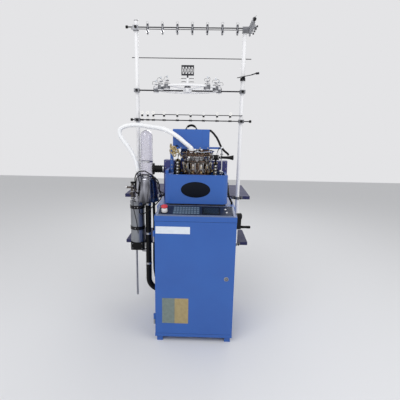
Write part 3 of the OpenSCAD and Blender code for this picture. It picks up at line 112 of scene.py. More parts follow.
@dataclass(frozen=True)
class Finish:
    """A surface as it was made. Its colour is sRGB hex and its patterns are sized in millimetres."""

    name: str
    colour: str
    roughness: float = 0.4
    mirror: float = 0.5

    def material(self) -> bpy.types.Material:
        """Makes the material the first time it is asked for.

        Returns:
            The material that is named for this finish.
        """
        made = bpy.data.materials.get(self.name)
        if made is None:
            made = bpy.data.materials.new(self.name)
            made.use_nodes = True
            tree = made.node_tree
            tree.nodes.clear()
            coords = put(tree, "ShaderNodeTexCoord").outputs["Object"]
            start = {"Base Color": linear(self.colour), "Roughness": self.roughness}
            skin = put(tree, "ShaderNodeBsdfPrincipled", start)
            skin.inputs["Specular IOR Level"].default_value = self.mirror
            self.work(tree, coords, skin)
            put(tree, "ShaderNodeOutputMaterial", {"Surface": skin.outputs["BSDF"]})
        return made

    def work(self, tree: Tree, coords: Socket, skin: Node) -> None:
        """Adds the pattern that the way of making leaves."""

    def mottle(
        self, tree: Tree, coords: Socket, size_mm: float, detail: float = 3.0, stretch: Point = (1, 1, 1)
    ) -> Socket:
        """Draws cloudy noise.

        Args:
            tree: the material's tree.
            coords: the object's coordinates in metres.
            size_mm: how wide one cloud is.
            detail: how many finer layers it has.
            stretch: how much finer it runs along each axis.

        Returns:
            The noise, from 0 to 1.
        """
        turned = put(tree, "ShaderNodeMapping", {"Vector": coords, "Scale": tuple(stretch)}).outputs[0]
        clouds = {"Vector": turned, "Scale": 1000 / size_mm, "Detail": detail}
        return put(tree, "ShaderNodeTexNoise", clouds).outputs[0]

    def spread(
        self, tree: Tree, value: Socket, low: float, high: float, to_low: float, to_high: float
    ) -> Socket:
        """Maps a value from one range to another, held at both ends."""
        ranges = {"Value": value, 1: low, 2: high, 3: to_low, 4: to_high}
        return put(tree, "ShaderNodeMapRange", ranges).outputs[0]

    def blended(self, tree: Tree, share: Socket, first: str | Socket, second: str | Socket) -> Socket:
        """Mixes two colours.

        Args:
            tree: the material's tree.
            share: how much of the second shows.
            first: a hex colour or an output.
            second: a hex colour or an output.

        Returns:
            The mixed colour.
        """
        mix = put(tree, "ShaderNodeMix", {0: share}, data_type="RGBA")
        for number, colour in ((6, first), (7, second)):
            if isinstance(colour, str):
                mix.inputs[number].default_value = linear(colour)
            else:
                tree.links.new(colour, mix.inputs[number])
        return mix.outputs[2]

    def relief(self, tree: Tree, height: Socket, skin: Node, depth_mm: float, strength: float) -> None:
        """Gives the surface a fine relief."""
        depth = {"Height": height, "Distance": depth_mm / 1000, "Strength": strength}
        tree.links.new(put(tree, "ShaderNodeBump", depth).outputs[0], skin.inputs["Normal"])


@dataclass(frozen=True)
class Enamel(Finish):
    """Enamel sprayed on sheet steel and baked: a level, half-gloss film with faint orange peel and dust."""

    peel_mm: float = 3.0
    peel_deep_mm: float = 0.05
    dust: float = 0.16
    dust_colour: str = "#b4b2ac"
    drift: str = "#35599f"
    scuffs: float = 0.25
    coat: float = 0.25

    def work(self, tree: Tree, coords: Socket, skin: Node) -> None:
        """Draws the film's drift of colour, its dust, its rubbed marks and its peel."""
        clouds = self.mottle(tree, coords, 260, 4)
        shade = self.blended(tree, self.spread(tree, clouds, 0.35, 0.7, 0.0, 0.5), self.colour, self.drift)
        normal = put(tree, "ShaderNodeNewGeometry").outputs["Normal"]
        upward = put(tree, "ShaderNodeSeparateXYZ", {0: normal}).outputs[2]
        level = self.spread(tree, upward, 0.4, 0.95, 0.0, self.dust)
        patches = self.spread(tree, self.mottle(tree, coords, 34, 5), 0.3, 0.7, 0.5, 1.0)
        settled = put(tree, "ShaderNodeMath", {0: level, 1: patches}, operation="MULTIPLY").outputs[0]
        dusty = self.blended(tree, settled, shade, self.dust_colour)
        rubbed = self.mottle(tree, coords, 14, 6, (1.0, 1.0, 0.35))
        marks = self.spread(tree, rubbed, 0.66, 0.74, 0.0, self.scuffs)
        tree.links.new(self.blended(tree, marks, dusty, self.dust_colour), skin.inputs["Base Color"])
        gloss = self.mottle(tree, coords, 60, 4)
        dulled = self.spread(tree, gloss, 0.3, 0.7, self.roughness - 0.06, self.roughness + 0.08)
        tree.links.new(dulled, skin.inputs["Roughness"])
        skin.inputs["Coat Weight"].default_value = self.coat
        skin.inputs["Coat Roughness"].default_value = 0.18
        self.relief(tree, self.mottle(tree, coords, self.peel_mm, 1), skin, self.peel_deep_mm, 0.5)


@dataclass(frozen=True)
class CastIron(Finish):
    """Iron cast in sand, then oiled: a dark, grainy skin with rubbed spots."""

    grain_mm: float = 1.6
    oil: str = "#1d1a18"

    def work(self, tree: Tree, coords: Socket, skin: Node) -> None:
        """Draws the sand's grain and the oil's darker runs."""
        skin.inputs["Metallic"].default_value = 0.55
        runs = self.spread(tree, self.mottle(tree, coords, 45, 5), 0.35, 0.7, 0.0, 0.8)
        tree.links.new(self.blended(tree, runs, self.colour, self.oil), skin.inputs["Base Color"])
        oiled = self.spread(tree, runs, 0.0, 0.8, self.roughness, self.roughness - 0.2)
        tree.links.new(oiled, skin.inputs["Roughness"])
        self.relief(tree, self.mottle(tree, coords, self.grain_mm, 3), skin, 0.12, 0.6)


@dataclass(frozen=True)
class WorkedMetal(Finish):
    """Bare metal that was turned, ground or drawn: fine tool lines, and a tarnish in the untouched places. On
    the spun stainless the same mottle paints reflection runs instead.
    """

    tarnish_and_reflection: str = "#6f6a66"
    stained_and_reflected: float = 0.35
    lines_mm: float = 0.8
    along: Way = Way.UP
    line_deep_mm: float = 0.02
    metallic: float = 1.0
    stain_and_reflection_mm: float = 24.0
    stain_and_reflection_runs: Point = (1.0, 1.0, 1.0)

    def work(self, tree: Tree, coords: Socket, skin: Node) -> None:
        """Draws the tool's lines and the tarnish, which on the spun stainless is painted reflection."""
        skin.inputs["Metallic"].default_value = self.metallic
        # The mottle mixes in a second colour: tarnish on most metals, painted reflection runs on the spun
        # stainless.
        clouds = self.mottle(tree, coords, self.stain_and_reflection_mm, 4, self.stain_and_reflection_runs)
        stain_and_reflection = self.spread(tree, clouds, 0.38, 0.62, 0.0, self.stained_and_reflected)
        tree.links.new(self.blended(tree, stain_and_reflection, self.colour, self.tarnish_and_reflection), skin.inputs["Base Color"])
        stretch = tuple(0.04 if axis is self.along else 1.0 for axis in (Way.RIGHT, Way.REAR, Way.UP))
        lines = self.mottle(tree, coords, self.lines_mm, 2, stretch)
        brushed = self.spread(tree, lines, 0.3, 0.7, self.roughness - 0.05, self.roughness + 0.1)
        tree.links.new(brushed, skin.inputs["Roughness"])
        self.relief(tree, lines, skin, self.line_deep_mm, 0.35)


@dataclass(frozen=True)
class Moulded(Finish):
    """Plastic or rubber from a mould: an even colour, a fine leather-like grain and a dull bloom."""

    grain_mm: float = 0.9
    bloom: str = "#3a3a3c"
    bloomed: float = 0.3

    def work(self, tree: Tree, coords: Socket, skin: Node) -> None:
        """Draws the bloom and the mould's grain."""
        haze = self.spread(tree, self.mottle(tree, coords, 30, 4), 0.35, 0.7, 0.0, self.bloomed)
        tree.links.new(self.blended(tree, haze, self.colour, self.bloom), skin.inputs["Base Color"])
        dulled = self.spread(tree, haze, 0.0, 1.0, self.roughness, self.roughness + 0.25)
        tree.links.new(dulled, skin.inputs["Roughness"])
        self.relief(tree, self.mottle(tree, coords, self.grain_mm, 2), skin, 0.04, 0.4)


@dataclass(frozen=True)
class ClearPlastic(Finish):
    """Acrylic or soft PVC that light passes: blown or extruded, with drawn lines and a film of lint."""

    passes: float = 0.9
    haze: str = "#e9e8f0"
    hazed: float = 0.3
    ior: float = 1.49

    def work(self, tree: Tree, coords: Socket, skin: Node) -> None:
        """Draws the lint's haze and lets the light through."""
        skin.inputs["Transmission Weight"].default_value = self.passes
        skin.inputs["IOR"].default_value = self.ior
        film = self.mottle(tree, coords, 60, 3, (1, 1, 0.2))
        lint = self.spread(tree, film, 0.35, 0.75, 0.0, self.hazed)
        tree.links.new(self.blended(tree, lint, self.colour, self.haze), skin.inputs["Base Color"])
        dulled = self.spread(tree, lint, 0.0, 1.0, self.roughness, self.roughness + 0.4)
        tree.links.new(dulled, skin.inputs["Roughness"])


@dataclass(frozen=True)
class Glazed(Finish):
    """Glass, film or glazed ceramic: a hard, level gloss with finger marks."""

    smears: float = 0.12

    def work(self, tree: Tree, coords: Socket, skin: Node) -> None:
        """Draws the finger marks in the gloss."""
        marks = self.mottle(tree, coords, 18, 4)
        smeared = self.spread(tree, marks, 0.4, 0.7, self.roughness, self.roughness + self.smears)
        tree.links.new(smeared, skin.inputs["Roughness"])


# The blue of the machine is baked enamel over folded sheet.
BLUE = Enamel("baked_blue_enamel", "#285dae", 0.36, drift="#2553a2", scuffs=0.0)
# The shell behind the head is the same enamel, painted a darker violet navy as painted shade for the shadow
# it stands in.
NAVY_WITH_PAINTED_SHADE = Enamel("navy_enamel_with_painted_shade", "#33377c", 0.42, drift="#2a2e66", dust=0.12, scuffs=0.05)
# The console's shell is a bluish grey enamel.
CONSOLE = Enamel("baked_slate_enamel", "#6a7899", 0.4, drift="#5c6888", scuffs=0.0)
# The shelves wear a dull grey-violet enamel, flat enough to mirror little.
SHELF = Enamel(
    "baked_grey_violet_enamel", "#30325a", 0.55, 0.2, drift="#2b2d50", dust=0.05, scuffs=0.0, coat=0.02)
# The creel is tube sprayed white, with no peel that would sparkle.
WHITE_PAINT = Enamel(
    "white_sprayed_enamel", "#f0f0f2", 0.38, peel_deep_mm=0.002, dust_colour="#bdbbb4", drift="#e6e6ea",
    scuffs=0.0, coat=0.0)
# Black enamel on cast and bent pieces.
BLACK_PAINT = Enamel(
    "black_baked_enamel", "#0a0a0c", 0.38, 0.25, drift="#060608", dust=0.02, scuffs=0.03, coat=0.05)
# The electrical box is pale grey enamel.
BOX_PAINT = Enamel("pale_grey_enamel", "#b9bcbd", 0.44, drift="#a7aaac")
# The motor's cast shell is sprayed a grey green, and the casting's skin shows through.
MOTOR_PAINT = Enamel(
    "grey_green_casting_enamel", "#56655f", 0.5, drift="#48554f", peel_mm=2.0, peel_deep_mm=0.15)
# The console's panel is a dark printed film with finger marks.
PANEL_FILM = Glazed("printed_panel_film", "#18233a", 0.42, 0.25, smears=0.2)
# The keypad and its keys are film over domes, in two greys.
KEYPAD = Moulded("keypad_film", "#334457", 0.4, 0.25, bloom="#2b3a4b", bloomed=0.4)
KEY_CAP = Moulded("key_cap_film", "#66788c", 0.38, 0.25, bloom="#556678", bloomed=0.5)
# The display is a dull liquid crystal window.
DISPLAY = Glazed("display_window", "#1e262c", 0.25, 0.25)
# The oval plate is enamelled almost black and bare.
PLATE_ENAMEL = Enamel(
    "dark_plate_enamel", "#070d1a", 0.5, 0.12, drift="#050a14", dust=0.02, scuffs=0.0, coat=0.04)
# The strip on the door is white film and bare.
STRIP_FILM = Moulded("white_label_film", "#dfe5ee", 0.45, bloom="#cfd6e0", bloomed=0.5)
# The collector is spun stainless sheet; the dark and bright runs down its wall are painted reflections of its
# surroundings.
STAINLESS = WorkedMetal(
    "spun_stainless_steel", "#b4b5be", 0.2, tarnish_and_reflection="#1c1d22", stained_and_reflected=0.94, lines_mm=3.0, along=Way.RIGHT,
    line_deep_mm=0.004, stain_and_reflection_mm=46, stain_and_reflection_runs=(1, 1, 0.14))
# Turned and ground steel.
STEEL = WorkedMetal("turned_steel", "#b6b6b8", 0.28, tarnish_and_reflection="#76726e")
# Hardened steel that has browned.
DARK_STEEL = WorkedMetal("browned_hardened_steel", "#5a5450", 0.34, tarnish_and_reflection="#2b2624", stained_and_reflected=0.6)
# Plain zinc plate on fasteners and sheet brackets.
ZINC = WorkedMetal("zinc_plate", "#a9a9ad", 0.38, tarnish_and_reflection="#85858c", stained_and_reflected=0.5)
# Chrome plate over polished steel.
CHROME = WorkedMetal("chrome_plate", "#d9dade", 0.1, tarnish_and_reflection="#b4b4b8", stained_and_reflected=0.12, line_deep_mm=0.003)
# Cast bed, oiled.
IRON = CastIron("oiled_cast_iron", "#4a4644", 0.55, 0.4)
# Cam bronze, browned by oil.
BRONZE = WorkedMetal("oiled_cam_bronze", "#80695c", 0.34, tarnish_and_reflection="#231b18", stained_and_reflected=0.85, stain_and_reflection_mm=14)
# Brass that is handled often.
BRASS = WorkedMetal("handled_brass", "#d0bb8c", 0.28, tarnish_and_reflection="#3c3022", stained_and_reflected=0.85, stain_and_reflection_mm=8)
# Cam bronze that the rockers rub bright.
PALE_BRONZE = WorkedMetal("rubbed_cam_bronze", "#ad9c8a", 0.34, tarnish_and_reflection="#3a2c22", stained_and_reflected=0.85, stain_and_reflection_mm=12)
# The filter cylinder's dull sheet.
FILTER = WorkedMetal(
    "dull_galvanised_sheet", "#989ba0", 0.4, tarnish_and_reflection="#65676c", stained_and_reflected=0.5, lines_mm=2.0, stain_and_reflection_mm=60,
    stain_and_reflection_runs=(1, 1, 0.2))
# Moulded black plastic.
BLACK_PLASTIC = Moulded("moulded_black_plastic", "#060607", 0.42, 0.2, bloom="#121214")
# Moulded white plastic.
WHITE_PLASTIC = Moulded("moulded_white_plastic", "#e4e5e8", 0.34, bloom="#cfcfd2")
# Moulded red plastic.
RED_PLASTIC = Moulded("moulded_red_plastic", "#c2303c", 0.34, bloom="#a82834")
# The dust tube is blown acrylic.
ACRYLIC = ClearPlastic("blown_acrylic", "#f6f5fb", 0.06, hazed=0.25, haze="#e8e5f1")
# The suction hose is milky soft PVC.
HOSE = ClearPlastic("milky_soft_pvc", "#fafbfd", 0.3, passes=0.1, haze="#f0f4fa", ior=1.45)
# Rubber hoses, cables and the belt.
RUBBER = Moulded("black_vulcanised_rubber", "#070708", 0.5, 0.2, bloom="#151517")
# Yarn eyes of glazed ceramic.
CERAMIC = Glazed("glazed_ceramic", "#f4f3f0", 0.14, smears=0.05)
# The rods and the guide frame of the creel are blacked steel.
BLACKED = WorkedMetal("blacked_steel", "#3a3a3e", 0.42, tarnish_and_reflection="#1c1c1f", stained_and_reflected=0.5)
# Die-cast yarn tensioners and clamps, dull grey.
DIE_CAST = WorkedMetal("dull_die_cast_zinc", "#8b8c90", 0.42, tarnish_and_reflection="#5c5d62", stained_and_reflected=0.6)
# The plate low on the door is anodised in two tones and bare.
PLATE_GREEN = WorkedMetal(
    "greenish_anodised_plate", "#7d8a86", 0.45, tarnish_and_reflection="#6c7874", stained_and_reflected=0.5, metallic=0.3)
PLATE_BEIGE = WorkedMetal(
    "beige_anodised_plate", "#ad9c72", 0.45, tarnish_and_reflection="#9c8a62", stained_and_reflected=0.5, metallic=0.3)
# Air lines are drawn polyurethane tube.
AIR_BLUE = Moulded("blue_air_line", "#27489a", 0.35, bloom="#34559f", bloomed=0.2)
AIR_CLEAR = ClearPlastic("clear_air_line", "#dfe6ee", 0.2, passes=0.5, hazed=0.2)


def facing(at: Point, toward: Point | Way = Way.UP) -> Matrix:
    """Gives the placing that points a piece's own Z axis somewhere.

    Args:
        at: where the piece's origin goes.
        toward: the direction of its Z axis.

    Returns:
        The placing as a matrix.
    """
    way = toward.value if isinstance(toward, Way) else Vector(toward)
    return Matrix.Translation(Vector(at)) @ way.to_track_quat("Z", "Y").to_matrix().to_4x4()


def grid(toward: Way, xs: Sequence[float], ys: Sequence[float], zs: Sequence[float]) -> list[Matrix]:
    """Gives a placing at each crossing of three rows of coordinates, all facing one way."""
    return [facing(at, toward) for at in product(xs, ys, zs)]


def oblong(half: float, low: float, high: float) -> list[tuple[float, float]]:
    """Draws an oblong about the Y axis, anticlockwise."""
    return [(-half, low), (half, low), (half, high), (-half, high)]


def outward(side: int) -> Way:
    """Gives the way off the machine's right side for 1, or off its left for -1."""
    return Way.RIGHT if side > 0 else Way.LEFT


def turned_about(angle: float) -> Matrix:
    """Turns a piece about its own upright axis, in degrees."""
    return Matrix.Rotation(math.radians(angle), 4, "Z")


def eased(points: Sequence[Point], steps: int = 6) -> list[Vector]:
    """Runs one smooth curve through points.

    Args:
        points: the points that it passes.
        steps: how many pieces each stretch is cut into.

    Returns:
        The points of the curve.
    """
    p = [Vector(q) for q in points]
    p = [2 * p[0] - p[1], *p, 2 * p[-1] - p[-2]]
    curve = []
    for a, b, c, d in zip(p, p[1:], p[2:], p[3:]):
        for k in range(steps):
            t = k / steps
            square, cube = 2 * a - 5 * b + 4 * c - d, 3 * b - a - 3 * c + d
            curve.append(0.5 * (2 * b + (c - a) * t + square * t**2 + cube * t**3))
    return [*curve, p[-2]]


def coil(at: Point, radius: float, pitch: float, turns: int) -> list[tuple[float, float, float]]:
    """Winds a spring's wire upward from a point on its axis, in eighths of a turn.

    Args:
        at: the foot of its axis.
        radius: the radius of the wire's middle.
        pitch: how far it rises in a turn.
        turns: how many turns it has.

    Returns:
        The points of the wire.
    """
    x, y, z = at
    wound = []
    for a in (k * math.pi / 4 for k in range(8 * turns + 1)):
        wound.append((x + radius * math.cos(a), y + radius * math.sin(a), z + pitch * a / (2 * math.pi)))
    return wound


class Bench:
    """The moves of the modelling bench. Each makes or finishes a mesh with Blender's operators."""

    @staticmethod
    def pick(*pieces: Mesh) -> None:
        """Selects only these pieces, the last of them active."""
        bpy.ops.object.select_all(action="DESELECT")
        for piece in pieces:
            piece.select_set(True)
            bpy.context.view_layer.objects.active = piece

    @classmethod
    def joined(cls, *pieces: Mesh) -> Mesh:
        """Joins pieces into the last of them."""
        cls.pick(*pieces)
        if len(pieces) > 1:
            bpy.ops.object.join()
        return bpy.context.object

    @classmethod
    def soften(cls, piece: Mesh, angle: float = 35.0) -> Mesh:
        """Shades a piece smooth but for its edges sharper than an angle in degrees."""
        cls.pick(piece)
        bpy.ops.object.shade_smooth_by_angle(angle=math.radians(angle))
        return piece

    @classmethod
    def bevelled(cls, piece: Mesh, width: float, segments: int) -> Mesh:
        """Rounds a piece's sharp edges.

        Args:
            piece: the mesh.
            width: the bevel in metres.
            segments: how many faces go round an edge.

        Returns:
            The same mesh.
        """
        cls.pick(piece)
        rounding = piece.modifiers.new("edges", "BEVEL")
        rounding.width = width
        rounding.segments = segments
        rounding.limit_method = "ANGLE"
        rounding.angle_limit = 0.6
        bpy.ops.object.modifier_apply(modifier=rounding.name)
        return cls.soften(piece)

    @classmethod
    def block(cls, lo: Point, hi: Point, bevel: float = 0.001, segments: int = 2) -> Mesh:
        """Mills a block between two corners and rounds its edges."""
        lo, hi = Vector(lo), Vector(hi)
        bpy.ops.object.select_all(action="DESELECT")
        bpy.ops.mesh.primitive_cube_add(size=1.0, location=(lo + hi) / 2)
        piece = bpy.context.object
        piece.scale = hi - lo
        bpy.ops.object.transform_apply(location=True, rotation=True, scale=True)
        return cls.bevelled(piece, bevel, segments)

    @classmethod
    def turned(cls, profile: Outline, place: Matrix, steps: int = 24, closed: bool = False) -> Mesh:
        """Turns a piece as on a lathe.

        Args:
            profile: radius and height pairs from one end to the other.
            place: where its origin and axis go.
            steps: how many faces go round.
            closed: whether the profile closes on itself, as a ring's does.

        Returns:
            The turned mesh.
        """
        mesh = bpy.data.meshes.new("profile")
        count = len(profile)
        edges = [(i, (i + 1) % count) for i in range(count if closed else count - 1)]
        mesh.from_pydata([(r, 0.0, h) for r, h in profile], edges, [])
        piece = bpy.data.objects.new("turned", mesh)
        bpy.context.scene.collection.objects.link(piece)
        cls.pick(piece)
        bpy.ops.object.mode_set(mode="EDIT")
        bpy.ops.mesh.select_all(action="SELECT")
        bpy.ops.mesh.spin(steps=steps, angle=2 * math.pi, center=(0, 0, 0), axis=(0, 0, 1))
        bpy.ops.mesh.select_all(action="SELECT")
        bpy.ops.mesh.remove_doubles(threshold=1e-6)
        bpy.ops.mesh.normals_make_consistent(inside=False)
        bpy.ops.object.mode_set(mode="OBJECT")
        mesh.transform(place)
        return cls.soften(piece)

    @classmethod
    def band(cls, inner: float, outer: float, height: float, place: Matrix, steps: int) -> Mesh:
        """Turns a flat ring between two radii."""
        return cls.turned([(inner, 0), (outer, 0), (outer, height), (inner, height)], place, steps, True)

    @classmethod
    def rod(cls, a: Point, b: Point, radius: float, chamfer: float = 0.0005, steps: int = 20) -> Mesh:
        """Turns a plain rod between two points, with chamfered ends."""
        a, b = Vector(a), Vector(b)
        length = (b - a).length
        half = [(0, 0), (radius - chamfer, 0), (radius, chamfer)]
        profile = half + [(r, length - h) for r, h in reversed(half)]
        return cls.turned(profile, facing(a, b - a), steps)

    @classmethod
    def cut(
        cls, outline: Outline, thickness: float, place: Matrix, bevel: float = 0.0005, segments: int = 2
    ) -> Mesh:
        """Cuts an outline out of plate.

        Args:
            outline: its corners in the plate's own plane, anticlockwise.
            thickness: how far it rises along the placing's Z axis.
            place: where its origin and face go.
            bevel: how much its edges are rounded.
            segments: how many faces go round an edge.

        Returns:
            The plate's mesh.
        """
        mesh = bpy.data.meshes.new("plate")
        mesh.from_pydata([(x, y, 0.0) for x, y in outline], [], [list(range(len(outline)))])
        piece = bpy.data.objects.new("plate", mesh)
        bpy.context.scene.collection.objects.link(piece)
        cls.pick(piece)
        bpy.ops.object.mode_set(mode="EDIT")
        bpy.ops.mesh.select_all(action="SELECT")
        bpy.ops.mesh.extrude_region_move(TRANSFORM_OT_translate={"value": (0, 0, thickness)})
        bpy.ops.mesh.select_all(action="SELECT")
        bpy.ops.mesh.normals_make_consistent(inside=False)
        bpy.ops.object.mode_set(mode="OBJECT")
        mesh.transform(place)
        return cls.bevelled(piece, bevel, segments) if bevel else piece

    @classmethod
    def wire(cls, points: Sequence[Point], radius: float, sides: int = 8, steps: int = 6) -> Mesh:
        """Lays a cable or a bent wire along a smooth curve through points."""
        piece = cls.line("wire", eased(points, steps), radius, sides)
        cls.pick(piece)
        bpy.ops.object.convert(target="MESH")
        return cls.soften(bpy.context.object, 60)

    @staticmethod
    def line(name: str, points: Sequence[Point], radius: float, sides: int) -> Mesh:
        """Lays an open curve with a round section, and leaves it a curve."""
        curve = bpy.data.curves.new(name, "CURVE")
        curve.dimensions = "3D"
        curve.bevel_depth = radius
        curve.bevel_resolution = max(1, sides // 4 - 1)
        curve.use_fill_caps = True
        spline = curve.splines.new("POLY")
        spline.points.add(len(points) - 1)
        for held, point in zip(spline.points, points):
            held.co = (*point, 1.0)
        piece = bpy.data.objects.new(name, curve)
        bpy.context.scene.collection.objects.link(piece)
        return piece

    @staticmethod
    def copied(master: Mesh, places: Iterable[Matrix]) -> list[Mesh]:
        """Copies one piece to many places, each with its own mesh, and clears the first away.

        Args:
            master: the piece, modelled at the origin.
            places: where the copies go.

        Returns:
            The copies.
        """
        copies = []
        for place in places:
            copy = master.copy()
            copy.data = master.data.copy()
            copy.data.transform(place)
            bpy.context.scene.collection.objects.link(copy)
            copies.append(copy)
        bpy.data.objects.remove(master)
        return copies

    @classmethod
    def finish(cls, name: str, pieces: Mesh | Sequence[Mesh], finish: Finish, body: str = "machine") -> Mesh:
        """Joins pieces into one, gives it its finish, and sets it on a body.

        Args:
            name: the finished piece's name.
            pieces: one mesh or several.
            finish: its surface.
            body: the moving body that carries it.

        Returns:
            The finished piece.
        """
        piece = cls.joined(*([pieces] if isinstance(pieces, Mesh) else pieces))
        piece.name = name
        piece.data.materials.clear()
        piece.data.materials.append(finish.material())
        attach(piece, body)
        log.info("%s: %d faces", name, len(piece.data.polygons) if piece.type == "MESH" else 0)
        return piece

    @classmethod
    def repeat(
        cls, name: str, master: Mesh, places: Iterable[Matrix], finish: Finish, body: str = "machine"
    ) -> Mesh:
        """Copies one piece to many places and finishes the copies as one.

        Args:
            name: what the copies are called together.
            master: the piece, modelled at the origin.
            places: where the copies go.
            finish: their surface.
            body: the moving body that carries them.

        Returns:
            The finished copies.
        """
        return cls.finish(name, cls.copied(master, places), finish, body)


class HeadStyle(Enum):
    """The form of a screw's head."""

    SOCKET = "socket"
    DOME = "dome"
    HEX = "hex"
    KNURLED = "knurled"


@dataclass(frozen=True)
class Fastener:
    """A screw, bolt or thumb nut, of which only the head shows."""

    radius: float
    height: float
    style: HeadStyle = HeadStyle.SOCKET
    steps: int = 14
    ridges: int = 16

    def model(self) -> Mesh:
        """Models one head at the origin, its top along Z.

        Returns:
            The head's mesh.
        """
        r, h = self.radius, self.height
        if self.style is HeadStyle.SOCKET:
            rim = [(0, 0), (r, 0), (r, 0.85 * h), (0.88 * r, h)]
            socket = [(0.55 * r, h), (0.5 * r, 0.4 * h), (0, 0.4 * h)]
            return Bench.turned(rim + socket, Matrix(), self.steps)
        if self.style is HeadStyle.DOME:
            dome = [(0, 0), (r, 0), (0.94 * r, 0.45 * h), (0.7 * r, 0.85 * h), (0.3 * r, h)]
            return Bench.turned([*dome, (0.22 * r, 0.6 * h), (0, 0.6 * h)], Matrix(), self.steps)
        if self.style is HeadStyle.HEX:
            washer = Bench.turned([(0, 0), (r, 0), (r, 0.2 * h), (0, 0.2 * h)], Matrix(), 18)
            flats = [(0, 0.2 * h), (0.86 * r, 0.2 * h), (0.86 * r, 0.9 * h), (0.74 * r, h), (0, h)]
            return Bench.joined(washer, Bench.turned(flats, Matrix(), 6))
        return Bench.cut(toothed(self.ridges, 0.9 * r, r), h, Matrix(), 0.08 * r, 1)

    def fit(self, name: str, places: Iterable[Matrix], finish: Finish = ZINC, body: str = "machine") -> Mesh:
        """Fits a head at each place.

        Args:
            name: what the row of heads is called.
            places: the placings of their seats.
            finish: their surface.
            body: the body that they ride on.

        Returns:
            The heads as one piece.
        """
        return Bench.repeat(name, self.model(), places, finish, body)


def toothed(teeth: int, root: float, tip: float) -> list[tuple[float, float]]:
    """Draws a saw-toothed rim between two radii."""
    radii = [tip if k % 2 else root for k in range(2 * teeth)]
    turns = [math.pi * k / teeth for k in range(2 * teeth)]
    return [(r * math.cos(a), r * math.sin(a)) for r, a in zip(radii, turns)]


# The head's axis: the needle cylinder stands on it.
HEAD_Y = 0.04


def spun(angle: float) -> Matrix:
    """Turns what is modelled along X to an angle about the head's axis."""
    return Matrix.Translation((0.0, HEAD_Y, 0.0)) @ turned_about(angle)


def shared(count: int, first: float = 0.0) -> list[float]:
    """Lists the angles in degrees at which a number of pieces share a round."""
    return [first + k * 360 / count for k in range(count)]


def ring_of(angles: Iterable[float]) -> list[Matrix]:
    """Turns what is modelled along X to each angle about the head's axis."""
    return [spun(angle) for angle in angles]


def polar(angle: float, radius: float, z: float) -> Vector:
    """Gives a point about the head's axis."""
    return spun(angle) @ Vector((radius, 0.0, z))


def out_at(angle: float, radius: float, z: float) -> Matrix:
    """Gives the placing whose Z axis points away from the head's axis."""
    turn = math.radians(angle)
    return facing(polar(angle, radius, z), (math.cos(turn), math.sin(turn), 0.0))


def arc(radius: float, start: float, end: float, steps: int) -> list[tuple[float, float]]:
    """Lists points on an arc between two angles in degrees."""
    angles = (math.radians(start + (end - start) * k / steps) for k in range(steps + 1))
    return [(radius * math.cos(a), radius * math.sin(a)) for a in angles]


def upright(y: float) -> Matrix:
    """Stands an outline that is drawn in X and Z upright. Its thickness runs from y toward the operator."""
    return Matrix(((1, 0, 0, 0), (0, 0, -1, y), (0, 1, 0, 0), (0, 0, 0, 1)))


def on_back(x: float, y: float, z: float) -> Matrix:
    """Gives a place on a rear face, with Y up it and Z away from it."""
    return Matrix(((-1, 0, 0, x), (0, 0, 1, y), (0, 1, 0, z), (0, 0, 0, 1)))


def on_side(side: int, x: float, y: float, z: float) -> Matrix:
    """Gives a place on the right face for 1, or the left for -1, with Y up it and Z away from it."""
    return Matrix(((0, 0, side, x), (side, 0, 0, y), (0, 1, 0, z), (0, 0, 0, 1)))


def louvres(name: str, place: Matrix, count: int, width: float, pitch: float, finish: Finish) -> Mesh:
    """Presses a row of louvres in a sheet.

    Args:
        name: the row's name.
        place: the middle of the lowest one; its Z axis leaves the sheet and its Y axis goes up the row.
        count: how many there are.
        width: how wide each is.
        pitch: how far apart they are.
        finish: the sheet's surface.

    Returns:
        The row as one piece.
    """
    hood = [(-0.006, 0.0), (0.006, 0.0), (0.002, 0.0032), (-0.004, 0.0042), (-0.006, 0.0040)]
    lying = Matrix(((0, 0, 1, -width / 2), (1, 0, 0, 0), (0, 1, 0, 0), (0, 0, 0, 1)))
    master = Bench.cut(hood, width, lying, 0.0008)
    places = [place @ Matrix.Translation((0, k * pitch, 0)) for k in range(count)]
    return Bench.repeat(name, master, places, finish)


@dataclass
class SubAssembly:
    """Pieces that are built and dressed together. wears gives CAD nodes their finish."""

    wears: dict[str, Finish] = field(default_factory=dict)

    def make(self) -> None:
        """Dresses the CAD nodes and builds the fine pieces."""
        for node, finish in self.wears.items():
            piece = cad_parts[node]
            piece.data.materials.clear()
            piece.data.materials.append(finish.material())
        self.build()

    def build(self) -> None:
        """Builds the fine pieces."""


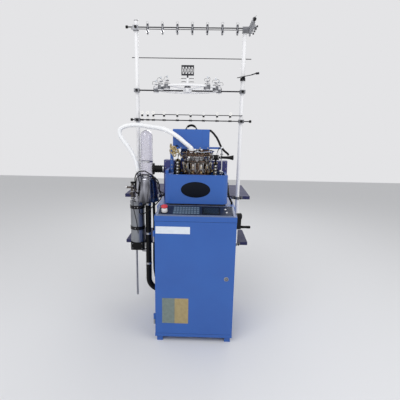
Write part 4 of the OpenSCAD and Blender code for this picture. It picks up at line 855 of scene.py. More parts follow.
@dataclass
class Cabinet(SubAssembly):
    """The cabinet with its door, plates and lock."""

    front: float = -0.26
    back: float = 0.26
    half: float = 0.28
    sheet: float = 0.0016
    inset: float = 0.014
    wears: dict[str, Finish] = field(default_factory=lambda: {
        "base_skids": BLUE, "cabinet_body": BLUE, "door_panel": BLUE, "hinge_pins": ZINC,
        "lock_barrel": DIE_CAST, "lock_cam": ZINC})

    def build(self) -> None:
        """Builds the bare plates, the side and back covers and their screws."""
        self.set_plates()
        self.cover_sides()
        self.cover_back()
        self.trim_lock()

    def set_plates(self) -> None:
        """Sets the white strip and the two-toned plate on the door, both bare."""
        strip = Bench.block((-0.272, self.front - 0.0007, 0.826), (-0.037, self.front, 0.877), 0.0002, 1)
        Bench.finish("door_strip", strip, STRIP_FILM, "door")
        low, high, left, middle, right, rim = 0.149, 0.346, -0.229, -0.139, -0.041, 0.007
        halves = (("left", left, middle, 0.001, PLATE_GREEN), ("right", middle, right, 0.0012, PLATE_BEIGE))
        for name, start, end, proud, finish in halves:
            plate = Bench.block((start, self.front - proud, low), (end, self.front, high), 0.0003, 1)
            Bench.finish(f"door_plate_{name}", plate, finish, "door")
        corners = grid(Way.FRONT, (left + rim, right - rim), (self.front - 0.001,), (low + rim, high - rim))
        Fastener(0.0022, 0.0012, HeadStyle.DOME).fit("door_plate_rivets", corners, STEEL, "door")

    def cover_sides(self) -> None:
        """Screws a service cover with louvres on each side."""
        start, low, high = -0.20, 0.30, 0.79
        for side, name, end in ((-1, "left", 0.11), (1, "right", 0.21)):
            face = side * self.half
            outer = face + side * self.sheet
            middle = (start + end) / 2
            cover = Bench.block((min(face, outer), start, low), (max(face, outer), end, high), 0.0006, 1)
            Bench.finish(f"{name}_cover", cover, BLUE)
            rows = (start + self.inset, middle, end - self.inset)
            seats = grid(outward(side), (outer,), rows, (low + self.inset, high - self.inset))
            Fastener(0.0048, 0.0026, HeadStyle.DOME).fit(f"{name}_cover_screws", seats)
            place = on_side(side, face + side * 0.0012, middle, low + 0.06)
            louvres(f"{name}_louvres", place, 8, 0.16, 0.018, BLUE)

    def cover_back(self) -> None:
        """Screws the back cover on, with louvres low and high."""
        half, low, high = 0.165, 0.10, 0.80
        outer = self.back + self.sheet
        cover = Bench.block((-half, self.back, low), (half, outer, high), 0.0006, 1)
        Bench.finish("back_cover", cover, BLUE)
        columns = (-half + self.inset, 0.0, half - self.inset)
        seats = grid(Way.REAR, columns, (outer,), (low + self.inset, 0.45, high - self.inset))
        Fastener(0.0048, 0.0026, HeadStyle.DOME).fit("back_cover_screws", seats)
        for name, z in (("low", 0.15), ("high", 0.60)):
            louvres(f"back_louvres_{name}", on_back(0, self.back + 0.0012, z), 9, 0.2, 0.018, BLUE)

    def trim_lock(self) -> None:
        """Puts a washer round the lock's barrel."""
        washer = [(0.0122, 0), (0.0165, 0), (0.0160, 0.0012), (0.0126, 0.0016)]
        ring = Bench.turned(washer, facing((0.222, self.front, 0.502), Way.FRONT), 28, True)
        Bench.finish("lock_washer", ring, STEEL, "door")


@dataclass
class Console(SubAssembly):
    """The sloping console with its film-covered panel and buttons."""

    edge_z: float = 0.954
    tilt: float = math.radians(13.134)
    wears: dict[str, Finish] = field(default_factory=lambda: {
        "console_housing": CONSOLE, "control_panel": PANEL_FILM, "start_button": WHITE_PLASTIC,
        "stop_button": WHITE_PLASTIC, "estop_collar": WHITE_PLASTIC, "estop_head": RED_PLASTIC})

    def build(self) -> None:
        """Builds the panel's keys and display, the trim and the stop button's ring."""
        self.lay_keypad()
        self.trim_panel()
        self.ring_stop()

    def on_panel(self, x: float, s: float, lift: float = 0.0) -> Matrix:
        """Gives a place on the sloping panel.

        Args:
            x: across the machine.
            s: how far up the slope from its front edge.
            lift: how far over the console's sheet.

        Returns:
            The placing, with Y up the slope and Z away from it.
        """
        slope = Matrix.Translation((0.0, -0.26, self.edge_z)) @ Matrix.Rotation(self.tilt, 4, "X")
        return slope @ Matrix.Translation((x, s, lift))

    def lay_keypad(self) -> None:
        """Lays the keypad with its bare keys, and the display in its bezel."""
        keypad = Bench.cut(oblong(0.092, 0, 0.112), 0.0008, self.on_panel(-0.066, 0.0185, 0.0044), 0.0002, 1)
        Bench.finish("keypad", keypad, KEYPAD)
        key = Bench.cut(oblong(0.0075, -0.0085, 0.0085), 0.0012, Matrix(), 0.0006)
        rows = [(-0.146 + 0.020 * k, 0.033 + 0.0275 * row) for row in range(4) for k in range(9)]
        Bench.repeat("keypad_keys", key, [self.on_panel(x, s, 0.0051) for x, s in rows], KEY_CAP)
        bezel = ("display_bezel", BLACK_PLASTIC, 0.062, 0.0185, 0.1300, 0.0044)
        for name, finish, half, low, high, lift in (bezel, ("display", DISPLAY, 0.053, 0.030, 0.118, 0.0051)):
            pane = Bench.cut(oblong(half, 0, high - low), 0.0008, self.on_panel(0.105, low, lift), 0.0003, 1)
            Bench.finish(name, pane, finish)

    def trim_panel(self) -> None:
        """Trims the panel's two long edges and screws the panel and the console down."""
        strip = oblong(0.258, -0.0012, 0.0012)
        trim = [Bench.cut(strip, 0.0062, self.on_panel(0.0, s), 0.0005, 1) for s in (0.0025, 0.1475)]
        Bench.finish("panel_trim", trim, CONSOLE)
        corners = [self.on_panel(x, s, 0.005) for x in (-0.247, 0.247) for s in (0.012, 0.136)]
        Fastener(0.0034, 0.0014, HeadStyle.DOME).fit("panel_screws", corners, BLACKED)
        sides = [facing((side * 0.27, y, 0.958), outward(side)) for side in (-1, 1) for y in (-0.22, -0.14)]
        Fastener(0.0042, 0.0022, HeadStyle.DOME).fit("console_screws", sides)

    def ring_stop(self) -> None:
        """Puts a ring round the stop button's collar and ribs on it."""
        place = self.on_panel(-0.215, 0.046, 0.005)
        lip = [(0.0192, 0), (0.0235, 0), (0.0228, 0.0016), (0.0196, 0.002)]
        Bench.finish("estop_ring", Bench.turned(lip, place, 32, True), BLACK_PLASTIC)
        rib = Bench.block((0.0188, -0.0011, 0.003), (0.0202, 0.0011, 0.021), 0.0003, 1)
        Bench.repeat("estop_ribs", rib, [place @ turned_about(a) for a in shared(18)], WHITE_PLASTIC)


@dataclass
class Drive(SubAssembly):
    """The crank, shafts, motor and belt."""

    crank_z: float = 0.88
    motor_z: float = 0.152
    belt_x: float = 0.215
    pulley_radii: tuple[float, float] = (0.06, 0.03)
    wears: dict[str, Finish] = field(default_factory=lambda: {
        "crank_bearing": BLACK_PAINT, "main_shaft": STEEL, "crank_arm": BLACK_PAINT,
        "crank_grip": BLACK_PLASTIC, "drive_motor": MOTOR_PAINT, "motor_pulley": STEEL, "drive_belt": RUBBER,
        "control_box": BOX_PAINT, "suction_fan": FILTER})

    def build(self) -> None:
        """Builds the crank's fastenings and the details of what the cabinet holds."""
        self.fasten_crank()
        self.fin_motor()
        self.tooth_belt()
        self.fit_box()
        self.bolt_fan()

    def fasten_crank(self) -> None:
        """Bolts the flange to the cabinet and caps the arm's hub."""
        bolt = 0.025
        heights = (self.crank_z - bolt, self.crank_z + bolt)
        seats = grid(Way.RIGHT, (0.286,), (HEAD_Y - bolt, HEAD_Y + bolt), heights)
        Fastener(0.0048, 0.005).fit("crank_flange_screws", seats, BLACKED)
        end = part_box("crank_arm")[0].x + 0.034
        rim = [(0, 0), (0.0135, 0), (0.0135, 0.002), (0.012, 0.003)]
        dish = [(0.008, 0.003), (0.0075, 0.0015), (0, 0.0015)]
        cap = Bench.turned(rim + dish, facing((end, HEAD_Y, self.crank_z), Way.RIGHT), 28)
        Bench.finish("crank_cap", cap, BLACK_PLASTIC, "crank")
        seat = facing((end - 0.012, HEAD_Y, 0.9048))
        Fastener(0.0035, 0.002).fit("crank_set_screw", [seat], BLACKED, "crank")

    def fin_motor(self) -> None:
        """Cuts the motor's fins, screws its end and its terminal lid, and leads its cable off."""
        fin = Bench.band(0.0615, 0.0655, 0.0022, facing((0, 0, 0), Way.RIGHT), 40)
        places = [Matrix.Translation((0.044 + 0.0072 * k, HEAD_Y, self.motor_z)) for k in range(19)]
        Bench.repeat("motor_fins", fin, places, MOTOR_PAINT)
        bolts = [
            facing((0.0248, HEAD_Y + 0.056 * math.cos(a), self.motor_z + 0.056 * math.sin(a)), Way.LEFT)
            for a in (0.8, 2.4, 3.9, 5.5)]
        Fastener(0.005, 0.004, HeadStyle.HEX).fit("motor_bolts", bolts)
        lid = grid(Way.UP, (0.082, 0.128), (HEAD_Y - 0.023, HEAD_Y + 0.023), (self.motor_z + 0.088,))
        Fastener(0.0036, 0.003, HeadStyle.DOME).fit("motor_lid_screws", lid)
        route = [
            (0.075, HEAD_Y, 0.228), (0.052, HEAD_Y + 0.01, 0.232), (0.036, 0.08, 0.28), (0.03, 0.115, 0.36),
            (0.03, 0.13, 0.44)]
        Bench.finish("motor_lead", Bench.wire(route, 0.004), RUBBER)

    def tooth_belt(self) -> None:
        """Moulds teeth on the inside of the belt's two straight runs."""
        tooth = Bench.block((-0.0075, -0.0008, -0.0015), (0.0075, 0.0008, 0.0015), 0.0004, 1)
        top, low = Vector((self.belt_x, HEAD_Y, self.crank_z)), Vector((self.belt_x, HEAD_Y, self.motor_z))
        large, small = self.pulley_radii
        lean = math.asin((large - small) / (top - low).length)
        count, inside = 90, 0.0003
        places = []
        for side in (-1, 1):
            normal = Vector((0.0, side * math.cos(lean), math.sin(lean)))
            first, last = low + normal * (small - inside), top + normal * (large - inside)
            turn = Matrix.Rotation(side * -lean, 4, "X")
            for k in range(count):
                places.append(Matrix.Translation(first.lerp(last, (k + 0.5) / count)) @ turn)
        Bench.repeat("belt_teeth", tooth, places, RUBBER)

    def fit_box(self) -> None:
        """Fits the electrical box with its lid, vents, glands and leads."""
        front, left, right, low, high, rim = 0.138, -0.12, 0.15, 0.42, 0.76, 0.02
        face, gland_y = front - 0.003, 0.19
        lid = Bench.block((left + 0.008, face, low + 0.008), (right - 0.008, front, high - 0.008), 0.0014)
        Bench.finish("box_lid", lid, BOX_PAINT)
        seats = grid(Way.FRONT, (left + rim, right - rim), (face,), (low + rim, high - rim))
        Fastener(0.0055, 0.003, HeadStyle.DOME).fit("box_lid_screws", seats)
        slot = Bench.block((-0.034, 0, -0.003), (0.034, 0.0012, 0.003), 0.0005, 1)
        places = [Matrix.Translation((-0.055, front - 0.0038, 0.473 + 0.014 * k)) for k in range(7)]
        Bench.repeat("box_vents", slot, places, BLACK_PLASTIC)
        glands = grid(Way.DOWN, (-0.07, -0.03, 0.03, 0.08), (gland_y,), (low,))
        Fastener(0.011, 0.012, HeadStyle.HEX).fit("box_glands", glands, BLACK_PLASTIC)
        for k, (x, end) in enumerate(((-0.07, -0.16), (-0.03, -0.06), (0.08, 0.10)), 1):
            route = [
                (x, gland_y, low - 0.01), (x, gland_y, 0.36), ((x + end) / 2, 0.17, 0.28), (end, 0.16, 0.18),
                (end, 0.15, 0.06)]
            Bench.finish(f"box_lead_{k}", Bench.wire(route, 0.0038), RUBBER)

    def bolt_fan(self) -> None:
        """Bolts the fan's housing together."""
        centre, circle = Vector((-0.182, 0.164, 0.19)), 0.077
        turns = [0.3 + k * math.pi / 4 for k in range(8)]
        seats = [facing(centre + circle * Vector((0, math.cos(a), math.sin(a))), Way.RIGHT) for a in turns]
        Fastener(0.0045, 0.0035, HeadStyle.HEX).fit("fan_bolts", seats)


@dataclass
class Head(SubAssembly):
    """The knitting head in its casing."""

    needles: int = 60
    blocks: int = 12
    caps: int = 8
    arms: int = 10
    rocker_leans: tuple[float, float] = (-6.5, 6.0)
    nozzle_angle: float = 223.5
    horn_z: float = 1.326
    # The rear housing wears the darker navy enamel, which is painted shade.
    wears: dict[str, Finish] = field(default_factory=lambda: {
        "head_casing": BLUE, "rear_housing": NAVY_WITH_PAINTED_SHADE, "bed_frame": IRON, "cylinder_shaft": STEEL,
        "needle_cylinder": STEEL, "cam_ring": BRONZE, "sinker_ring": DARK_STEEL, "dial": STEEL,
        "dial_cap": BRONZE, "dial_bracket": BLUE, "finger_block": BRASS, "yarn_finger_1": BRASS,
        "yarn_finger_2": BRASS, "yarn_finger_3": BRASS, "air_horn": BLACK_PLASTIC, "guide_rod": CHROME,
        "top_box": BLUE, "top_handle": BLACK_PLASTIC, "valve_banks": BLACK_PLASTIC})

    def build(self) -> None:
        """Builds the mechanism from the needles up, then the casing, the box and the shell behind."""
        self.set_needles()
        self.plate_blocks()
        self.set_levers()
        self.cap_sinkers()
        self.ring_cutter()
        self.dress_cap()
        self.lay_air_lines()
        self.dress_banks()
        self.dress_fingers()
        self.dress_bracket()
        self.fit_horn()
        self.dress_casing()
        self.dress_box()
        self.dress_rear()

    def set_needles(self) -> None:
        """Sets a hooked latch needle in each slot of the cylinder."""
        stem = [
            (0.0484, 0, 1.296), (0.0484, 0, 1.3165), (0.0486, 0, 1.3185), (0.0476, 0, 1.3196),
            (0.0468, 0, 1.3184), (0.0470, 0, 1.3172)]
        slots = ring_of(shared(self.needles))
        Bench.repeat("needles", Bench.wire(stem, 0.0005, 8, 2), slots, CHROME, "cylinder")

    def plate_blocks(self) -> None:
        """Screws a steel cam plate, a brass selector and a knob on each cam block."""
        turns = shared(self.blocks, 180 / self.blocks)
        plate = Bench.block((0.102, -0.0085, 1.2405), (0.1052, 0.0085, 1.2795), 0.0008)
        Bench.repeat("cam_plates", plate, ring_of(turns), STEEL)
        selector = Bench.block((0.105, -0.0035, 1.250), (0.1085, 0.0035, 1.269), 0.0007)
        Bench.repeat("cam_selectors", selector, ring_of(turns), BRASS)
        seats = [out_at(t, 0.1052, z) for t in turns for z in (1.2445, 1.2755)]
        Fastener(0.0026, 0.0022).fit("cam_plate_screws", seats, BLACKED)
        knobs = [out_at(t, 0.112, 1.226) for t in turns]
        Fastener(0.0062, 0.008, HeadStyle.KNURLED).fit("cam_knobs", knobs, BRASS)
        tops = [spun(t) @ Matrix.Translation((0.0965, dy, 1.282)) for t in turns for dy in (-0.0055, 0.0055)]
        Fastener(0.0034, 0.003).fit("cam_top_screws", tops, STEEL)

    def set_levers(self) -> None:
        """Pivots a pair of rockers between each two blocks and hangs a spring beside them."""
        outline = [
            (0.066, 1.214), (0.101, 1.214), (0.109, 1.228), (0.105, 1.258), (0.113, 1.284), (0.108, 1.292),
            (0.0985, 1.266), (0.0955, 1.236), (0.066, 1.230)]
        turns = shared(self.blocks)
        for name, lean, finish in zip(("steel", "bronze"), self.rocker_leans, (STEEL, PALE_BRONZE)):
            rocker = Bench.cut(outline, 0.0045, upright(0.00225), 0.0008)
            Bench.repeat(f"rockers_{name}", rocker, ring_of(turn + lean for turn in turns), finish)
        across = Matrix.Rotation(math.pi / 2, 4, "X") @ Matrix.Translation((0, 0, 0.002))
        pins = [out_at(turn + lean, 0.1035, 1.224) @ across for turn in turns for lean in self.rocker_leans]
        Fastener(0.0028, 0.003, HeadStyle.DOME).fit("rocker_pins", pins, STEEL)
        spring = Bench.wire(coil((0.1045, 0, 1.216), 0.0028, 0.0046, 7), 0.0006, 8, 1)
        Bench.repeat("rocker_springs", spring, ring_of(turns), STEEL)

    def cap_sinkers(self) -> None:
        """Screws the caps over the sinker ring."""
        turns = shared(self.caps)
        outline = arc(0.087, 2, 43, 8) + arc(0.060, 43, 2, 8)
        cap = Bench.cut(outline, 0.0045, Matrix.Translation((0, 0, 1.298)), 0.0008)
        Bench.repeat("sinker_caps", cap, ring_of(turns), BRONZE)
        seats = [spun(turn + a) @ Matrix.Translation((0.0775, 0, 1.3025)) for turn in turns for a in (10, 35)]
        Fastener(0.0032, 0.0028).fit("sinker_cap_screws", seats, STEEL)
        foot = Bench.block((0.083, -0.004, 1.300), (0.0985, 0.004, 1.312), 0.0008)
        Bench.repeat("sinker_cams", foot, ring_of(turns), STEEL)

    def ring_cutter(self) -> None:
        """Hangs the saw-toothed cutter ring under the dial cap, with small arms round it."""
        place = spun(0) @ Matrix.Translation((0, 0, 1.3325))
        Bench.finish("cutter_ring", Bench.cut(toothed(60, 0.0895, 0.0925), 0.0025, place, 0.0), STEEL)
        outline = [
            (0.088, 1.343), (0.106, 1.345), (0.112, 1.334), (0.106, 1.312), (0.099, 1.306), (0.0985, 1.311),
            (0.1035, 1.320), (0.1055, 1.334), (0.1, 1.338), (0.088, 1.337)]
        for name, first, finish in (("bronze", 9, BRONZE), ("steel", 27, DARK_STEEL)):
            arm = Bench.cut(outline, 0.005, upright(0.0025), 0.0009)
            Bench.repeat(f"cap_arms_{name}", arm, ring_of(shared(self.arms, first)), finish)
        seats = [out_at(turn + first, 0.1095, 1.338) for turn in shared(self.arms) for first in (9, 27)]
        Fastener(0.003, 0.003, HeadStyle.HEX).fit("cap_arm_screws", seats, STEEL)

    @property
    def cylinders(self) -> list[float]:
        """Angles of the small cylinders on the dial cap. The nozzle takes the first of the ten places."""
        return shared(10, self.nozzle_angle)[1:]

    def dress_cap(self) -> None:
        """Fits the small cylinders on the dial cap with nuts, forks and elbows, and the nozzle's band."""
        turns = self.cylinders
        between = [turn + 18 for turn in turns]
        nuts = [out_at(t, 0.0995, 1.358) for t in turns]
        Fastener(0.0072, 0.0045, HeadStyle.HEX).fit("actuator_nuts", nuts, BRASS)
        rod = Bench.rod((0.103, 0, 1.358), (0.1135, 0, 1.358), 0.0022, 0.0004, 12)
        Bench.repeat("actuator_rods", rod, ring_of(turns), CHROME)
        fork = Bench.block((0.1105, -0.004, 1.352), (0.1165, 0.004, 1.364), 0.001)
        Bench.repeat("actuator_forks", fork, ring_of(turns), DARK_STEEL)
        lid = Bench.block((0.0805, -0.0075, 1.3505), (0.0835, 0.0075, 1.3655), 0.0008)
        Bench.repeat("actuator_lids", lid, ring_of(turns), STEEL)
        seats = [spun(t) @ Matrix.Translation((out, 0, 1.35)) for out in (0.085, 0.066) for t in between]
        Fastener(0.003, 0.0028).fit("cap_screws", seats, STEEL)
        profile = [(0, 0), (0.0045, 0), (0.0045, 0.004), (0.0036, 0.005), (0.0036, 0.0085), (0, 0.0085)]
        places = [out_at(t, 0.0835, 1.3615) for t in turns]
        Bench.repeat("actuator_fittings", Bench.turned(profile, Matrix(), 14), places, BLACK_PLASTIC)
        wedge = Bench.block((0.036, -0.007, 1.350), (0.052, 0.007, 1.3615), 0.001)
        Bench.repeat("cap_lugs", wedge, ring_of(between[:-1]), BRONZE)
        profile = [(0.0105, 0), (0.0205, 0), (0.0205, 0.009), (0.0195, 0.010), (0.0105, 0.010)]
        collar = Bench.turned(profile, facing((0, HEAD_Y, 1.362)), 28, True)
        Bench.finish("dial_collar", collar, STEEL)
        band = Bench.band(0.0163, 0.0178, 0.007, facing((-0.040, 0.002, 1.3585)), 28)
        Bench.finish("nozzle_band", band, CHROME)
        worm = Bench.block((-0.0475, -0.0205, 1.3575), (-0.0335, -0.0150, 1.3665), 0.001)
        Bench.finish("nozzle_worm", worm, STEEL)

    def lay_air_lines(self) -> None:
        """Leads a thin air line from each small cylinder to the rear right, or to the valves at the left."""
        finishes = (RUBBER, AIR_CLEAR, AIR_BLUE)
        for k, start in enumerate(self.cylinders, 1):
            lane = k % 3
            run = [
                polar(start, 0.090, 1.3615), polar(start, 0.102, 1.3625),
                polar(start + 5, 0.118, 1.370 + 0.001 * lane)]
            if start < 420:
                last = 408 - 5 * k
                steps = max(1, round((last - start) / 24))
                for i in range(1, steps + 1):
                    angle = start + 5 + (last - start - 5) * i / steps
                    run.append(polar(angle, 0.119 + 0.0025 * lane, 1.372 - 0.004 * (i % 2)))
                drop = ((0.126, 1.33), (0.128, 1.26), (0.126, 1.205))
                run += [polar(last + 3, out, z) for out, z in drop]
            else:
                bends = (
                    (-0.128, 0.050 - 0.006 * lane, 1.352), (-0.142, 0.040 + 0.006 * lane, 1.325),
                    (-0.144, 0.040 + 0.007 * lane, 1.300))
                run += [Vector(bend) for bend in bends]
            Bench.finish(f"air_line_{k}", Bench.wire(run, 0.0021, 8, 4), finishes[lane])

    def dress_banks(self) -> None:
        """Fits the plugs, screws and leads of the stacked valves, and the elbows on top."""
        for name, middle, count, top, out in (("left", -0.144, 5, 1.300, -1), ("right", 0.136, 4, 1.282, 1)):
            seats = [(middle, -0.018 if k < 2 else -0.008, 1.200 + 0.022 * k) for k in range(count)]
            plugs = [
                Bench.block((x - 0.0065, y - 0.007, z - 0.005), (x + 0.0065, y, z + 0.005), 0.0009)
                for x, y, z in seats]
            Bench.finish(f"{name}_valve_plugs", plugs, WHITE_PLASTIC)
            wings = (-0.0115, 0.0115)
            ends = [facing((x + dx, y, z + 0.0055), Way.FRONT) for x, y, z in seats for dx in wings]
            Fastener(0.002, 0.0016, HeadStyle.DOME).fit(f"{name}_valve_screws", ends)
            ports = [facing((x - out * 0.0115, y, z - 0.003), Way.FRONT) for x, y, z in seats]
            Fastener(0.0036, 0.004, HeadStyle.HEX).fit(f"{name}_valve_ports", ports, BRASS)
            leads = []
            for k, (x, y, z) in enumerate(seats):
                side = x + out * (0.014 + 0.002 * k)
                route = [
                    (x, y - 0.006, z), (x + out * 0.004, y - 0.016, z + 0.002), (side, y - 0.018, z - 0.012),
                    (side, y - 0.012, 1.205), (side - out * 0.004, y, 1.182)]
                leads.append(Bench.wire(route, 0.0014, 8, 4))
            Bench.finish(f"{name}_valve_leads", leads, RUBBER)
            elbows = grid(Way.UP, (middle - 0.010, middle + 0.010), (0.024, 0.050), (top,))
            Fastener(0.0052, 0.007, HeadStyle.HEX).fit(f"{name}_valve_elbows", elbows, BRASS)
            knob = Fastener(0.007, 0.012, HeadStyle.KNURLED)
            knob.fit(f"{name}_valve_knob", [facing((middle, 0.037, top))], BLACK_PLASTIC)

    def dress_fingers(self) -> None:
        """Puts the knobs, the adjusting screws, the springs and a second plate on the brass block."""
        x, front, z = -0.150, -0.029, 1.370
        knobs = grid(Way.UP, (x,), (-0.018, -0.002, 0.013), (1.400,))
        Fastener(0.0068, 0.012, HeadStyle.KNURLED).fit("finger_knobs", knobs, BLACK_PLASTIC)
        pivot = facing((x, front, z), Way.FRONT)
        Fastener(0.0072, 0.005, HeadStyle.HEX).fit("finger_pivot_nut", [pivot], STEEL)
        steps = ((-0.014, 0.012), (-0.044, -0.006), (-0.022, -0.016), (-0.003, -0.030), (-0.028, 0.034))
        seats = [facing((x + dx, front, z + dz), Way.FRONT) for dx, dz in steps]
        Fastener(0.0034, 0.003).fit("finger_screws", seats, STEEL)
        outline = [
            (-0.186, 1.402), (-0.150, 1.402), (-0.150, 1.388), (-0.134, 1.384), (-0.128, 1.366),
            (-0.134, 1.362), (-0.142, 1.376), (-0.166, 1.380), (-0.180, 1.386)]
        Bench.finish("finger_plate", Bench.cut(outline, 0.0025, upright(-0.0295), 0.0007), BRASS)
        steps = ((-0.026, 0.026), (-0.012, 0.024))
        seats = [facing((x + dx, front - 0.0025, z + dz), Way.FRONT) for dx, dz in steps]
        Fastener(0.0055, 0.004, HeadStyle.KNURLED).fit("finger_thumb_screws", seats, BRASS)
        spring = Bench.wire(coil((-0.196, -0.033, 1.352), 0.0022, 0.0040, 8), 0.0006, 8, 1)
        Bench.finish("finger_spring", spring, STEEL)
        links = [
            Bench.rod((-0.196, -0.033, 1.384), (-0.190, -0.031, 1.398), 0.0012),
            Bench.rod((-0.176, -0.0325, 1.344), (-0.120, -0.0325, 1.352), 0.0016)]
        Bench.finish("finger_links", links, STEEL)
        profile = [(0.003, 0), (0.0055, 0), (0.006, 0.002), (0.0055, 0.004), (0.003, 0.004)]
        for k in (1, 2, 3):
            place = facing((x + 0.034, (k - 2) * 0.014 - 0.003, 1.326), Way.REAR)
            Bench.finish(f"finger_eye_{k}", Bench.turned(profile, place, 18, True), CERAMIC, f"finger_{k}")

    def dress_bracket(self) -> None:
        """Puts the screws in the bracket's post and the nuts on its bar."""
        seats = grid(Way.FRONT, (-0.1905,), (0.058,), (1.236, 1.262, 1.304, 1.344, 1.376))
        Fastener(0.0046, 0.004).fit("post_screws", seats, STEEL)
        Fastener(0.009, 0.007, HeadStyle.HEX).fit("rod_nut", [facing((0.181, 0.060, 1.400))], CHROME)
        collar = Bench.band(0.0056, 0.0105, 0.011, facing((0.181, 0.060, 1.342)), 24)
        Bench.finish("rod_collar", collar, STEEL)
        profile = [(0, 0), (0.0085, 0), (0.0085, 0.010), (0.0065, 0.013), (0, 0.013)]
        boss = Bench.turned(profile, facing((0.173, 0.054, 1.224), Way.FRONT))
        Bench.finish("rod_boss", boss, WHITE_PLASTIC)
        seats = grid(Way.FRONT, (-0.120, -0.060, 0.020, 0.076), (0.02,), (1.393,))
        Fastener(0.0052, 0.004, HeadStyle.HEX).fit("bracket_front_screws", seats, STEEL)

    def fit_horn(self) -> None:
        """Fits the nozzle's collars, the white unions of the conduit and the box's gland."""
        for k, (x, radius) in enumerate(((0.115, 0.0198), (0.152, 0.0198), (0.168, 0.0105)), 1):
            band = Bench.band(radius - 0.002, radius, 0.005, facing((x, HEAD_Y, self.horn_z), Way.RIGHT), 28)
            Bench.finish(f"horn_band_{k}", band, STEEL)
        union = Bench.rod((0.148, HEAD_Y, 1.343), (0.148, HEAD_Y, 1.362), 0.0075, 0.0015)
        Bench.finish("horn_union", union, WHITE_PLASTIC)
        route = [
            (0.148, HEAD_Y, 1.360), (0.150, HEAD_Y, 1.374), (0.160, 0.0405, 1.390), (0.174, 0.041, 1.401)]
        Bench.finish("horn_lead", Bench.wire(route, 0.003, 8, 5), RUBBER)
        along = Vector((14, -2, -20)).normalized()
        profile = [(0.0062, -0.006), (0.0098, -0.006), (0.0105, 0), (0.0098, 0.006), (0.0062, 0.006)]
        tie = Bench.turned(profile, facing((0.178, 0.0385, 1.398), along), 24, True)
        Bench.finish("conduit_union", tie, WHITE_PLASTIC)
        seat = facing((0.0868, 0.060, 1.517), Way.RIGHT)
        Fastener(0.0115, 0.010, HeadStyle.HEX).fit("box_gland", [seat], BLACK_PLASTIC)

    def dress_casing(self) -> None:
        """Sets the bare oval plate on the casing and the screws in its sides."""
        turns = [math.pi * k / 48 for k in range(96)]
        outline = [(-0.007 + 0.105 * math.cos(a), 1.103 + 0.057 * math.sin(a)) for a in turns]
        Bench.finish("oval_plate", Bench.cut(outline, 0.0016, upright(-0.090), 0.0006), PLATE_ENAMEL)
        seats = []
        for x, way in ((-0.230, Way.LEFT), (0.224, Way.RIGHT)):
            seats += grid(way, (x,), (-0.03, 0.10), (1.02, 1.19))
        Fastener(0.0046, 0.0026, HeadStyle.DOME).fit("casing_screws", seats)

    def dress_box(self) -> None:
        """Screws the box's side lids, louvres its back and grips its handle."""
        middle, low, high = -0.049, 1.400, 1.526
        seats = []
        for x, way in ((-0.180, Way.LEFT), (0.086, Way.RIGHT)):
            seats += grid(way, (x,), (0.034, 0.166), (low + 0.014, high - 0.014))
        Fastener(0.0042, 0.0024, HeadStyle.DOME).fit("box_side_screws", seats)
        louvres("box_louvres", on_back(-0.047, 0.1797, low + 0.03), 5, 0.15, 0.016, BLUE)
        turns = [math.radians(46 + 11 * k) for k in range(9)]
        held = [(middle + 0.0395 * math.cos(a), 0.100, high - 0.011 + 0.0395 * math.sin(a)) for a in turns]
        Bench.finish("handle_grip", Bench.wire(held, 0.0085, 16, 3), RUBBER)
        feet = grid(Way.UP, (middle - 0.038, middle + 0.038), (0.096, 0.104), (high + 0.005,))
        Fastener(0.0048, 0.003).fit("handle_screws", feet, STEEL)

    def dress_rear(self) -> None:
        """Screws the shell behind the head and louvres its back."""
        left, right, low, high, edge, rim = -0.262, 0.234, 0.985, 1.289, 0.014, 0.02
        seats = grid(Way.FRONT, (left + edge, right - edge), (0.160,), (high - edge, high - 0.06))
        Fastener(0.0042, 0.0024, HeadStyle.DOME).fit("rear_front_screws", seats)
        columns = (left + rim, (left + right) / 2, right - rim)
        seats = grid(Way.REAR, columns, (0.258,), (low + rim, high - rim))
        Fastener(0.0046, 0.0026, HeadStyle.DOME).fit("rear_back_screws", seats)
        # The rear louvres wear the darker navy enamel, which is painted shade.
        for name, x in (("left", -0.135), ("right", 0.107)):
            louvres(f"rear_louvres_{name}", on_back(x, 0.2577, low + 0.09), 8, 0.15, 0.018, NAVY_WITH_PAINTED_SHADE)


